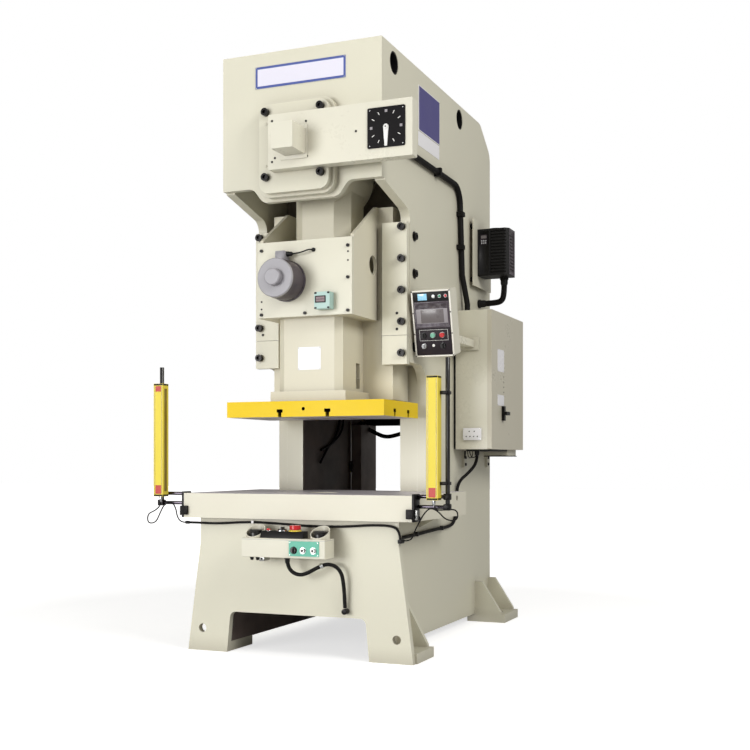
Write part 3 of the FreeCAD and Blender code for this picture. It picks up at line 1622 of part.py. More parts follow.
side_plates()
crown_front_plate()
crown_top_plate()
bearing_walls()
rear_plates()
bed_front_plate()
bed_plates()
feet()
bolster()
gibs()
frame_bolts()
crank_housing()
crankshaft()
main_gear()
pinion_shaft()
flywheel()
belt_drive()
con_rod()
slide_body()
adjusting_wheel()
slide_plate()
adjust_motor()
indicator()
blank_plates()
cabinet()
operator_panel()
drive_unit()
drive_hose()
conduit()
curtains()
cables()
control_box()
control_hose()
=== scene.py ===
"""Gap-frame stamping press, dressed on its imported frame. Lengths are given in millimetres.

Places have X across the press, Y back from the front face of the legs and Z up from the floor;
the function at() turns them into the metres of the press's own frame.
"""
import logging
import math
from dataclasses import dataclass, field
from enum import Enum
from typing import Callable, Iterable, Optional, Sequence

import bpy
from mathutils import Matrix, Vector


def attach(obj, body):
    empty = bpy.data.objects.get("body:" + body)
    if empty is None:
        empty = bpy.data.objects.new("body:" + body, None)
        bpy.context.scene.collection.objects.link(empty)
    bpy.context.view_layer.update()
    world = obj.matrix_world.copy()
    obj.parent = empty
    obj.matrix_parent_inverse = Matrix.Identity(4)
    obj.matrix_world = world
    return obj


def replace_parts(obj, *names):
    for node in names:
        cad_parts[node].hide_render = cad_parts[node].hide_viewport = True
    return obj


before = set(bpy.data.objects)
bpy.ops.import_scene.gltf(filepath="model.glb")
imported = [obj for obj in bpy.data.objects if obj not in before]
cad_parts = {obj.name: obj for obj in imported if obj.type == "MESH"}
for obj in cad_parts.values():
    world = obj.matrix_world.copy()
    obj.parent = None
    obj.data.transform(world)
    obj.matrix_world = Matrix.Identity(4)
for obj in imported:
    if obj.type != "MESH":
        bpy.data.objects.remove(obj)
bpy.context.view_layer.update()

LEGS_Y = -905.0  # front face of the legs in the press's frame, in millimetres
MM = 1000.0  # millimetres in a metre
SMOOTH = math.radians(35.0)  # edges sharper than this stay sharp
TOUCH = 0.00001  # metres within which two places are one
SIDES = ((-1, "left"), (1, "right"))
FRONT, REAR, LEFT, RIGHT, UP, DOWN = (0, -1, 0), (0, 1, 0), (-1, 0, 0), (1, 0, 0), (0, 0, 1), (0, 0, -1)
Spot = tuple[float, float, float]
Profile = Sequence[tuple[float, float]]
log = logging.getLogger("press")


def at(x: float, y: float, z: float) -> Vector:
    """A place in millimetres from the legs' front face, as metres in the press's frame."""
    return Vector((x, y + LEGS_Y, z)) / MM


def linear(red: float, green: float, blue: float) -> tuple[float, float, float, float]:
    """A screen colour of 0 to 255 as the linear colour that a shader takes."""
    shares = [c / 255.0 for c in (red, green, blue)]
    curve = [c / 12.92 if c <= 0.04045 else ((c + 0.055) / 1.055) ** 2.4 for c in shares]
    return (*curve, 1.0)


class Bench:
    """Modelling by operators. Every piece it leaves has its place in its mesh."""

    @staticmethod
    def only(*pieces: bpy.types.Object) -> None:
        """Leaves edit mode and selects just these pieces, the last one active."""
        if bpy.context.object and bpy.context.object.mode != "OBJECT":
            bpy.ops.object.mode_set(mode="OBJECT")
        bpy.ops.object.select_all(action="DESELECT")
        for piece in pieces:
            piece.select_set(True)
            bpy.context.view_layer.objects.active = piece

    @staticmethod
    def settle(name: str) -> bpy.types.Object:
        """Moves the active piece's place and turn into its mesh and names it."""
        bpy.ops.object.transform_apply(location=True, rotation=True, scale=True)
        piece = bpy.context.object
        piece.name = name
        piece.data.name = name
        return piece

    @staticmethod
    def pick(piece: bpy.types.Object, kind: str, wanted: Callable[..., bool]) -> None:
        """Enters edit mode with just the elements selected that pass a test.

        Args:
            piece: The piece to edit.
            kind: VERT for its corners or FACE for its faces.
            wanted: The test of one corner or face.
        """
        Bench.only(piece)
        bpy.ops.object.mode_set(mode="EDIT")
        bpy.ops.mesh.select_mode(type=kind)
        bpy.ops.mesh.select_all(action="DESELECT")
        bpy.ops.object.mode_set(mode="OBJECT")
        for element in piece.data.vertices if kind == "VERT" else piece.data.polygons:
            element.select = wanted(element)
        bpy.ops.object.mode_set(mode="EDIT")

    @staticmethod
    def soften(piece: bpy.types.Object, width: float, segments: int = 2) -> None:
        """Rounds the sharp edges of a piece.

        Args:
            piece: The piece to round.
            width: Width of the rounding in millimetres.
            segments: Facets across the rounding.
        """
        Bench.only(piece)
        bevel = piece.modifiers.new("edge", "BEVEL")
        bevel.width = width / MM
        bevel.segments = segments
        bevel.limit_method = "ANGLE"
        bevel.angle_limit = SMOOTH
        bpy.ops.object.modifier_apply(modifier=bevel.name)
        bpy.ops.object.shade_smooth_by_angle(angle=SMOOTH)

    @staticmethod
    def block(name: str, low: Spot, high: Spot, edge: float = 1.0, segments: int = 2) -> bpy.types.Object:
        """A bar or plate between two corners, with rounded edges.

        Args:
            name: Name of the piece.
            low: Lowest corner.
            high: Highest corner.
            edge: Width of its rounded edges, or 0 to leave them sharp.
            segments: Facets across each rounding.

        Returns:
            The new piece.
        """
        Bench.only()
        a, b = at(*low), at(*high)
        bpy.ops.mesh.primitive_cube_add(size=1.0, location=(a + b) / 2, scale=b - a)
        piece = Bench.settle(name)
        if edge:
            Bench.soften(piece, edge, segments)
        return piece

    @staticmethod
    def turned(name: str, start: Spot, axis: Spot, profile: Profile, sides: int = 32,
               edge: float = 0.0, hollow: bool = False) -> bpy.types.Object:
        """A turned piece, drawn up ring by ring from a disc.

        Args:
            name: Name of the piece.
            start: Where its axis starts.
            axis: Which way it grows.
            profile: Pairs of distance along the axis and radius.
            sides: Facets round the piece.
            edge: Width of its rounded edges, or 0 to leave them sharp.
            hollow: Whether the last ring meets the first one, as in a bush or a collar.

        Returns:
            The new piece.
        """
        Bench.only()
        if hollow:
            profile = [*profile, profile[0]]
        way = Vector(axis).normalized()
        base = at(*start)
        distance, radius = profile[0]
        bpy.ops.mesh.primitive_circle_add(
            vertices=sides, radius=radius / MM, fill_type="NOTHING" if hollow else "NGON",
            location=base + way * distance / MM, rotation=way.to_track_quat("Z", "Y").to_euler())
        piece = Bench.settle(name)
        bpy.ops.object.mode_set(mode="EDIT")
        bpy.ops.mesh.select_mode(type="EDGE" if hollow else "FACE")
        bpy.ops.mesh.select_all(action="SELECT")
        for following, wide in profile[1:]:
            step = way * (following - distance) / MM
            bpy.ops.mesh.extrude_region_move(TRANSFORM_OT_translate={"value": step})
            bpy.ops.transform.resize(value=(wide / radius,) * 3,
                                     center_override=base + way * following / MM)
            distance, radius = following, wide
        bpy.ops.mesh.select_all(action="SELECT")
        bpy.ops.mesh.remove_doubles(threshold=TOUCH)
        bpy.ops.mesh.normals_make_consistent(inside=False)
        bpy.ops.object.mode_set(mode="OBJECT")
        if edge:
            Bench.soften(piece, edge)
        else:
            bpy.ops.object.shade_smooth_by_angle(angle=SMOOTH)
        return piece

    @staticmethod
    def collar(name: str, start: Spot, axis: Spot, inner: float, outer: float, height: float,
               ease: float = 0.0, sides: int = 32) -> bpy.types.Object:
        """A flat bush whose outer edge is eased back at its far end."""
        profile = [(0.0, inner), (0.0, outer), (height, outer - ease), (height, inner)]
        return Bench.turned(name, start, axis, profile, sides, hollow=True)

    @staticmethod
    def wedge(name: str, low: Spot, high: Spot, setback: float, edge: float = 1.0) -> bpy.types.Object:
        """A block whose front slopes back towards its top.

        Args:
            name: Name of the piece.
            low: Lowest corner.
            high: Highest corner.
            setback: How far the front's top edge lies behind its foot, in millimetres.
            edge: Width of its rounded edges, or 0 to leave them sharp.

        Returns:
            The new piece.
        """
        piece = Bench.block(name, low, high, 0.0)
        front, top = at(*low).y, at(*high).z
        Bench.pick(piece, "VERT", lambda v: abs(v.co.y - front) < TOUCH and abs(v.co.z - top) < TOUCH)
        bpy.ops.transform.translate(value=(0.0, setback / MM, 0.0))
        bpy.ops.object.mode_set(mode="OBJECT")
        if edge:
            Bench.soften(piece, edge)
        return piece

    @staticmethod
    def rod(name: str, start: Spot, axis: Spot, length: float, radius: float, sides: int = 24,
            edge: float = 0.8) -> bpy.types.Object:
        """A round bar with softened ends."""
        return Bench.turned(name, start, axis, [(0.0, radius), (length, radius)], sides, edge)

    @staticmethod
    def copy(piece: bpy.types.Object, name: str, shift: Spot = (0.0, 0.0, 0.0)) -> bpy.types.Object:
        """A copy with its own mesh, moved by a shift in millimetres."""
        twin = piece.copy()
        twin.data = piece.data.copy()
        twin.name = twin.data.name = name
        bpy.context.collection.objects.link(twin)
        twin.data.transform(Matrix.Translation(Vector(shift) / MM))
        return twin

    @staticmethod
    def turn(piece: bpy.types.Object, centre: Spot, axis: Spot, degrees: float) -> bpy.types.Object:
        """Turns a piece about an axis through a place and keeps the turn in its mesh."""
        spot = at(*centre)
        turned = Matrix.Rotation(math.radians(degrees), 4, Vector(axis))
        piece.matrix_world = Matrix.Translation(spot) @ turned @ Matrix.Translation(-spot)
        Bench.only(piece)
        return Bench.settle(piece.name)

    @staticmethod
    def join(name: str, pieces: Iterable[bpy.types.Object]) -> bpy.types.Object:
        """Joins pieces into one object."""
        parts = list(pieces)
        Bench.only(*parts)
        if len(parts) > 1:
            bpy.ops.object.join()
        return Bench.settle(name)

    @staticmethod
    def cut(piece: bpy.types.Object, cutter: bpy.types.Object) -> bpy.types.Object:
        """Takes the cutter's shape out of a piece and removes the cutter."""
        Bench.only(piece)
        tool = piece.modifiers.new("cut", "BOOLEAN")
        tool.object = cutter
        tool.operation = "DIFFERENCE"
        tool.solver = "EXACT"
        bpy.ops.object.modifier_apply(modifier=tool.name)
        bpy.data.objects.remove(cutter)
        bpy.ops.object.shade_smooth_by_angle(angle=SMOOTH)
        return piece

    @staticmethod
    def pocket(piece: bpy.types.Object, facing: Spot, rim: float, depth: float) -> bpy.types.Object:
        """Insets the faces that look one way and sinks or raises them.

        Args:
            piece: The piece to shape.
            facing: Which way the faces look.
            rim: Width of the rim left round them, in millimetres.
            depth: How far they sink in millimetres; below zero they rise.

        Returns:
            The same piece.
        """
        way = Vector(facing).normalized()
        Bench.pick(piece, "FACE", lambda face: face.normal.dot(way) > 0.99)
        bpy.ops.mesh.inset(thickness=rim / MM, use_boundary=True)
        bpy.ops.mesh.extrude_region_move(TRANSFORM_OT_translate={"value": -way * depth / MM})
        bpy.ops.object.mode_set(mode="OBJECT")
        return piece

    @staticmethod
    def route(name: str, spots: Sequence[Spot], diameter: float) -> bpy.types.Object:
        """A cable on one smooth curve.

        Args:
            name: Name of the cable.
            spots: Control points in millimetres from the legs' front face.
            diameter: Diameter in millimetres.

        Returns:
            The curve object.
        """
        curve = bpy.data.curves.new(name, "CURVE")
        curve.dimensions = "3D"
        spline = curve.splines.new("NURBS")
        spline.points.add(len(spots) - 1)
        for point, spot in zip(spline.points, spots):
            point.co = (*at(*spot), 1.0)
        spline.order_u = 3
        spline.use_endpoint_u = True
        curve.resolution_u = 10
        curve.bevel_depth = diameter / 2000.0
        curve.bevel_resolution = 5
        cable = bpy.data.objects.new(name, curve)
        bpy.context.collection.objects.link(cable)
        return cable

    @staticmethod
    def ribbed(name: str, line: bpy.types.Object, diameter: float, pitch: float) -> bpy.types.Object:
        """A corrugated hose that follows a curve.

        Args:
            name: Name of the hose.
            line: The curve that it follows, which is left as a bare line.
            diameter: Outer diameter in millimetres.
            pitch: Distance between its ribs in millimetres.

        Returns:
            The hose as a mesh.
        """
        line.data.bevel_depth = 0.0
        bare = bpy.data.meshes.new_from_object(line)
        length = sum((b.co - a.co).length for a, b in zip(bare.vertices, bare.vertices[1:]))
        count = max(2, round(length * MM / pitch))
        step = length / count
        outer, inner = diameter / 2.0, diameter / 2.0 - min(1.6, diameter * 0.06)
        p = step * MM
        rib = Bench.turned(name, (0.0, -LEGS_Y, 0.0), RIGHT, [
            (0.0, inner), (0.28 * p, inner), (0.4 * p, outer), (0.88 * p, outer), (p, inner)], 20)
        Bench.pick(rib, "FACE", lambda face: abs(face.normal.x) > 0.99)
        bpy.ops.mesh.delete(type="FACE")
        bpy.ops.object.mode_set(mode="OBJECT")
        array = rib.modifiers.new("ribs", "ARRAY")
        array.count = count
        array.use_relative_offset = False
        array.use_constant_offset = True
        array.constant_offset_displace = (step, 0.0, 0.0)
        array.use_merge_vertices = True
        bend = rib.modifiers.new("follow", "CURVE")
        bend.object = line
        for modifier in ("ribs", "follow"):
            bpy.ops.object.modifier_apply(modifier=modifier)
        bpy.ops.object.shade_smooth_by_angle(angle=math.radians(50))
        return rib


# ---- shared surface effects and finishes ----------------------------------------------
Socket = bpy.types.NodeSocket
Colour = tuple[int, int, int]
MOTTLE_RANGE = (0.3, 0.7)  # where nearly all of a noise lies


class Tree:
    """A node tree that is filled by short calls."""

    def __init__(self, tree: bpy.types.NodeTree) -> None:
        """Takes the tree to fill."""
        self.tree = tree

    def add(self, kind: str, settings: Optional[dict] = None, **inputs: object) -> bpy.types.Node:
        """Adds one node.

        Args:
            kind: The node's type without its ShaderNode prefix.
            settings: Properties of the node itself.
            inputs: Values by socket name, or sockets to link.

        Returns:
            The new node.
        """
        node = self.tree.nodes.new(f"ShaderNode{kind}")
        for key, value in (settings or {}).items():
            setattr(node, key, value)
        for key, value in inputs.items():
            self.feed(node, key.replace("_", " "), value)
        return node

    def feed(self, node: bpy.types.Node, socket: str | int, value: object) -> None:
        """Sets a socket's value, or links another socket into it."""
        if isinstance(value, Socket):
            self.tree.links.new(value, node.inputs[socket])
        else:
            node.inputs[socket].default_value = value

    def sum(self, operation: str, first: object, second: object = 0.0, clamp: bool = False) -> Socket:
        """The result of one arithmetic node."""
        node = self.add("Math", {"operation": operation, "use_clamp": clamp})
        self.feed(node, 0, first)
        self.feed(node, 1, second)
        return node.outputs[0]

    def remap(self, value: object, low: float, high: float, to_low: float, to_high: float) -> Socket:
        """A value carried from one range to another, held inside it."""
        return self.add("MapRange", {}, Value=value, From_Min=low, From_Max=high, To_Min=to_low,
                        To_Max=to_high).outputs[0]

    def mix(self, share: object, first: object, second: object) -> Socket:
        """A colour between two colours."""
        node = self.add("Mix", {"data_type": "RGBA"})
        self.feed(node, 0, share)
        self.feed(node, 6, first)
        self.feed(node, 7, second)
        return node.outputs[2]

    def noise(self, scale: object, detail: float = 3.0, vector: Optional[Socket] = None) -> Socket:
        """Even noise of a given scale, on the object's own coordinates."""
        node = self.add("TexNoise", {}, Scale=scale, Detail=detail)
        self.feed(node, "Vector", vector or self.add("TexCoord").outputs["Object"])
        return node.outputs[0]


class Effect(Enum):
    """The node groups that several finishes share."""

    MOTTLE = "mottle"
    EDGES = "worn_edges"
    DUST = "settled_dust"
    LINES = "tool_lines"


class Effects:
    """Builds each shared node group once."""

    made: dict[Effect, bpy.types.NodeTree] = {}

    @classmethod
    def group(cls, effect: Effect) -> bpy.types.NodeTree:
        """The node group of an effect, built at its first use."""
        if effect not in cls.made:
            tree = bpy.data.node_groups.new(effect.value, "ShaderNodeTree")
            getattr(cls, effect.name.lower())(tree)
            cls.made[effect] = tree
        return cls.made[effect]

    @staticmethod
    def sockets(tree: bpy.types.NodeTree, ins: dict[str, str],
                outs: dict[str, str]) -> tuple[bpy.types.Node, bpy.types.Node]:
        """Makes a group's sockets and its two end nodes.

        Args:
            tree: The group.
            ins: Socket type of each input by name.
            outs: Socket type of each output by name.

        Returns:
            The input node and the output node.
        """
        for name, kind in ins.items():
            tree.interface.new_socket(name, in_out="INPUT", socket_type=f"NodeSocket{kind}")
        for name, kind in outs.items():
            tree.interface.new_socket(name, in_out="OUTPUT", socket_type=f"NodeSocket{kind}")
        return tree.nodes.new("NodeGroupInput"), tree.nodes.new("NodeGroupOutput")

    @classmethod
    def mottle(cls, tree: bpy.types.NodeTree) -> None:
        """Slow and fine changes of tone over a painted or moulded surface."""
        start, end = cls.sockets(tree, {"Colour": "Color", "Scale": "Float", "Amount": "Float"},
                                 {"Colour": "Color", "Tone": "Float"})
        t = Tree(tree)
        slow, fine = t.noise(start.outputs["Scale"], 2.0), t.noise(60.0, 4.0)
        tone = t.sum("ADD", t.sum("MULTIPLY", slow, 0.7), t.sum("MULTIPLY", fine, 0.3))
        shift = t.sum("MULTIPLY", t.sum("SUBTRACT", tone, 0.5),
                      t.sum("MULTIPLY", start.outputs["Amount"], 2.0))
        scaled = t.add("VectorMath", {"operation": "SCALE"})
        t.feed(scaled, 0, start.outputs["Colour"])
        t.feed(scaled, "Scale", t.sum("ADD", shift, 1.0))
        t.feed(end, "Colour", scaled.outputs[0])
        t.feed(end, "Tone", tone)

    @classmethod
    def edges(cls, tree: bpy.types.NodeTree) -> None:
        """Masks of the outer edges, which steel shows as worn metal and enamel as a painted highlight, and of
        the inner corners, which enamel darkens as painted shade.
        """
        start, end = cls.sockets(tree, {"Width": "Float", "Reach": "Float"},
                                 {"Edge": "Float", "Corner": "Float"})
        t = Tree(tree)
        out = t.add("AmbientOcclusion", {"samples": 4, "inside": True, "only_local": True})
        t.feed(out, "Distance", start.outputs["Width"])
        into = t.add("AmbientOcclusion", {"samples": 4, "inside": False, "only_local": False})
        t.feed(into, "Distance", start.outputs["Reach"])
        patchy = t.remap(t.noise(45.0, 4.0), 0.38, 0.62, 0.25, 1.0)
        t.feed(end, "Edge", t.sum("MULTIPLY", t.remap(out.outputs["AO"], 0.9, 0.45, 0.0, 1.0), patchy))
        t.feed(end, "Corner", t.remap(into.outputs["AO"], 1.0, 0.25, 0.0, 1.0))

    @classmethod
    def dust(cls, tree: bpy.types.NodeTree) -> None:
        """A mask of what looks up and holds dust, in soft patches."""
        start, end = cls.sockets(tree, {"Amount": "Float"}, {"Mask": "Float"})
        t = Tree(tree)
        up = t.add("SeparateXYZ")
        t.feed(up, 0, t.add("TexCoord").outputs["Normal"])
        facing = t.remap(up.outputs["Z"], 0.55, 0.95, 0.0, 1.0)
        patch = t.remap(t.noise(7.0, 5.0), 0.3, 0.7, 0.4, 1.0)
        t.feed(end, "Mask", t.sum("MULTIPLY", t.sum("MULTIPLY", facing, patch), start.outputs["Amount"]))

    @classmethod
    def lines(cls, tree: bpy.types.NodeTree) -> None:
        """Fine lines that a tool leaves, stretched along an axis."""
        start, end = cls.sockets(tree, {"Stretch": "Vector"}, {"Height": "Float", "Tone": "Float"})
        t = Tree(tree)
        vector = t.add("VectorMath", {"operation": "MULTIPLY"})
        t.feed(vector, 0, t.add("TexCoord").outputs["Object"])
        t.feed(vector, 1, start.outputs["Stretch"])
        t.feed(end, "Height", t.noise(1.0, 2.0, vector.outputs[0]))
        t.feed(end, "Tone", t.noise(0.3, 3.0, vector.outputs[0]))


@dataclass(frozen=True)
class Finish:
    """A surface finish; its colour is as on a screen, 0 to 255.

    Attributes:
        name: Name of the material.
        colour: Colour of the surface.
        roughness: Plain roughness.
        slot: Name of the material slot that it stands for; not used.
    """

    name: str
    colour: Colour
    roughness: float = 0.4
    slot: str = "cream_paint"
    metallic: float = 0.0
    tone: float = 0.03
    tone_scale: float = 3.0
    bump_scale: float = 260.0
    bump: float = 0.05
    specular: float = 0.4

    def material(self) -> bpy.types.Material:
        """The finish's material, built at its first use."""
        label = f"{self.name}_finish"
        found = bpy.data.materials.get(label)
        if found:
            return found
        made = bpy.data.materials.new(label)
        made.use_nodes = True
        made.diffuse_color = linear(*self.colour)
        tree = Tree(made.node_tree)
        shader = made.node_tree.nodes["Principled BSDF"]
        tree.feed(shader, "Specular IOR Level", self.specular)
        self.dress(tree, shader)
        return made

    def group(self, tree: Tree, effect: Effect, **inputs: object) -> bpy.types.Node:
        """Places a shared effect in the material's tree with its own values."""
        node = tree.tree.nodes.new("ShaderNodeGroup")
        node.node_tree = Effects.group(effect)
        for key, value in inputs.items():
            tree.feed(node, key, value)
        return node

    def relief(self, tree: Tree, shader: bpy.types.Node, height: object, strength: float,
               distance: float = 0.001) -> None:
        """Feeds a height into the shader's normal."""
        bump = tree.add("Bump", {}, Strength=strength, Distance=distance, Height=height)
        tree.feed(shader, "Normal", bump.outputs[0])

    def gloss(self, tree: Tree, tone: Socket, spread: float) -> Socket:
        """The finish's roughness, uneven by a share on either side."""
        return tree.remap(tone, *MOTTLE_RANGE, self.roughness * (1.0 - spread),
                          self.roughness * (1.0 + spread))

    def ground(self, tree: Tree) -> tuple[Socket, Socket]:
        """The mottled colour and its tone."""
        node = self.group(tree, Effect.MOTTLE, Colour=linear(*self.colour), Scale=self.tone_scale,
                          Amount=self.tone)
        return node.outputs["Colour"], node.outputs["Tone"]

    def dress(self, tree: Tree, shader: bpy.types.Node) -> None:
        """Fills the material: mottled colour, uneven gloss and a fine grain."""
        colour, tone = self.ground(tree)
        tree.feed(shader, "Base Color", colour)
        tree.feed(shader, "Metallic", self.metallic)
        tree.feed(shader, "Roughness", self.gloss(tree, tone, 0.15))
        self.relief(tree, shader, tree.noise(self.bump_scale, 3.0), self.bump)


@dataclass(frozen=True)
class Enamel(Finish):
    """Paint over steel: a faint orange peel, outer edges lightened as a painted highlight, inner corners
    darkened as painted shade, and dust on top.
    """

    # The edge colour and share give outer edges a painted highlight; the corner colour and share give inner
    # corners painted shade.
    edge_colour: Colour = (244, 242, 232)
    edge: float = 0.55
    grime_colour: Colour = (112, 98, 82)
    corner_shade: float = 0.45
    dust: float = 0.25

    def paint(self, tree: Tree) -> tuple[Socket, Socket]:
        """The painted colour with painted shade in its corners, dust and a painted highlight on its edges, and
        the tone of its mottle.
        """
        colour, tone = self.ground(tree)
        edge_and_corner_masks = self.group(tree, Effect.EDGES, Width=0.0028, Reach=0.09)
        dust = self.group(tree, Effect.DUST, Amount=self.dust)
        # Painted shade: inner corners are darkened towards a dark colour.
        colour = tree.mix(tree.sum("MULTIPLY", edge_and_corner_masks.outputs["Corner"], self.corner_shade), colour,
                          linear(*self.grime_colour))
        colour = tree.mix(dust.outputs[0], colour, linear(150, 142, 128))
        # Painted highlight: outer edges are lightened towards a pale colour.
        colour = tree.mix(tree.sum("MULTIPLY", edge_and_corner_masks.outputs["Edge"], self.edge), colour,
                          linear(*self.edge_colour))
        return colour, tone

    def dress(self, tree: Tree, shader: bpy.types.Node) -> None:
        """Fills the material."""
        colour, tone = self.paint(tree)
        tree.feed(shader, "Base Color", colour)
        tree.feed(shader, "Roughness", self.gloss(tree, tone, 0.2))
        self.relief(tree, shader, tree.noise(self.bump_scale, 2.0), self.bump)


@dataclass(frozen=True)
class InnerShadeEnamel(Enamel):
    """Enamel outside, and painted shade on the inside of a hollow frame.

    Attributes:
        reach: Half width of the inside that is painted in shade, in metres.
        front: Where the inside starts.
        rear: Where it ends.
        deck: Height below which the inside starts at the arch already.
        arch: Where it starts there.
        inner_shade_colour: Colour of the painted shade.
    """

    reach: float = 0.3905
    front: float = -0.2285
    rear: float = 0.944
    deck: float = 0.643
    arch: float = -0.868
    inner_shade_colour: Colour = (124, 110, 104)

    def dress(self, tree: Tree, shader: bpy.types.Node) -> None:
        """Fills the material with paint, and with painted shade between the frame's walls."""
        colour, tone = self.paint(tree)
        place = tree.add("SeparateXYZ")
        tree.feed(place, 0, tree.add("TexCoord").outputs["Object"])
        between = tree.sum("LESS_THAN", tree.sum("ABSOLUTE", place.outputs["X"]), self.reach)
        behind = tree.sum("GREATER_THAN", place.outputs["Y"], self.front)
        ahead = tree.sum("LESS_THAN", place.outputs["Y"], self.rear)
        under = tree.sum("MULTIPLY", tree.sum("LESS_THAN", place.outputs["Z"], self.deck),
                         tree.sum("GREATER_THAN", place.outputs["Y"], self.arch))
        depth = tree.sum("MULTIPLY", tree.sum("MAXIMUM", behind, under), ahead)
        inside = tree.sum("MULTIPLY", between, depth)
        # Painted shade: faces between the frame's walls are darkened towards a shade colour.
        shade_mottle = tree.remap(tree.noise(5.0, 5.0), 0.35, 0.65, 0.0, 1.0)
        deep = tuple(round(c * 0.75) for c in self.inner_shade_colour)
        shade_tone = tree.mix(shade_mottle, linear(*self.inner_shade_colour), linear(*deep))
        tree.feed(shader, "Base Color", tree.mix(inside, colour, shade_tone))
        gloss = tree.sum("ADD", tree.sum("MULTIPLY", inside, 0.2), self.roughness)
        tree.feed(shader, "Roughness", tree.sum("MULTIPLY", gloss, tree.remap(tone, *MOTTLE_RANGE, 0.8, 1.2)))
        self.relief(tree, shader, tree.noise(self.bump_scale, 2.0), self.bump)


@dataclass(frozen=True)
class FacedEnamel(Enamel):
    """Enamel whose one level face is ground bare.

    Attributes:
        level: Height of the bare face in metres.
        upward: 1 for a face that looks up, -1 for one that looks down.
    """

    level: float = 0.0
    upward: float = 1.0

    def dress(self, tree: Tree, shader: bpy.types.Node) -> None:
        """Fills the material with paint, and with ground steel on the bare face."""
        colour, tone = self.paint(tree)
        spot = tree.add("TexCoord")
        place, normal = tree.add("SeparateXYZ"), tree.add("SeparateXYZ")
        tree.feed(place, 0, spot.outputs["Object"])
        tree.feed(normal, 0, spot.outputs["Normal"])
        away = tree.sum("ABSOLUTE", tree.sum("SUBTRACT", place.outputs["Z"], self.level))
        near = tree.sum("LESS_THAN", away, 0.0006)
        faces = tree.sum("GREATER_THAN", tree.sum("MULTIPLY", normal.outputs["Z"], self.upward), 0.9)
        bare = tree.sum("MULTIPLY", near, faces)
        grind = self.group(tree, Effect.LINES, Stretch=(9.0, 900.0, 900.0))
        share = tree.remap(grind.outputs["Tone"], *MOTTLE_RANGE, 0.0, 1.0)
        steel = tree.mix(share, linear(196, 190, 196), linear(224, 219, 223))
        tree.feed(shader, "Base Color", tree.mix(bare, colour, steel))
        tree.feed(shader, "Metallic", tree.sum("MULTIPLY", bare, 0.2))
        paint_gloss = self.gloss(tree, tone, 0.2)
        steel_gloss = tree.remap(grind.outputs["Height"], *MOTTLE_RANGE, 0.34, 0.5)
        gloss = tree.add("Mix")
        for socket, value in ((0, bare), (2, paint_gloss), (3, steel_gloss)):
            tree.feed(gloss, socket, value)
        tree.feed(shader, "Roughness", gloss.outputs[0])
        self.relief(tree, shader, tree.noise(self.bump_scale, 2.0), self.bump)


@dataclass(frozen=True)
class Steel(Finish):
    """Bare or blackened steel with tool lines, bright edges and patchy oil.

    Attributes:
        stretch: How the tool lines run, as counts per metre on each axis.
        shine: Colour of its worn edges.
    """

    metallic: float = 1.0
    stretch: Spot = (12.0, 700.0, 700.0)
    shine: Colour = (205, 205, 203)
    edge: float = 0.5
    lines: float = 0.12

    def dress(self, tree: Tree, shader: bpy.types.Node) -> None:
        """Fills the material."""
        colour, tone = self.ground(tree)
        edge_and_corner_masks = self.group(tree, Effect.EDGES, Width=0.0015, Reach=0.03)
        lines = self.group(tree, Effect.LINES, Stretch=self.stretch)
        dark = tuple(round(c * 0.72) for c in self.colour)
        colour = tree.mix(tree.remap(lines.outputs["Tone"], 0.55, 0.75, 0.0, 0.5), colour, linear(*dark))
        colour = tree.mix(tree.sum("MULTIPLY", edge_and_corner_masks.outputs["Edge"], self.edge), colour, linear(*self.shine))
        tree.feed(shader, "Base Color", colour)
        tree.feed(shader, "Metallic", self.metallic)
        tree.feed(shader, "Roughness", self.gloss(tree, tone, 0.25))
        self.relief(tree, shader, lines.outputs["Height"], self.lines, 0.0004)


@dataclass(frozen=True)
class Gloss(Finish):
    """A glossy moulding or lens under a clear skin, with faint swirls in its gloss."""

    coat: float = 0.6
    glow: float = 0.0

    def dress(self, tree: Tree, shader: bpy.types.Node) -> None:
        """Fills the material."""
        super().dress(tree, shader)
        tree.feed(shader, "Coat Weight", self.coat)
        tree.feed(shader, "Coat Roughness", 0.08)
        if self.glow:
            colour, _ = self.ground(tree)
            tree.feed(shader, "Emission Color", colour)
            tree.feed(shader, "Emission Strength", self.glow)


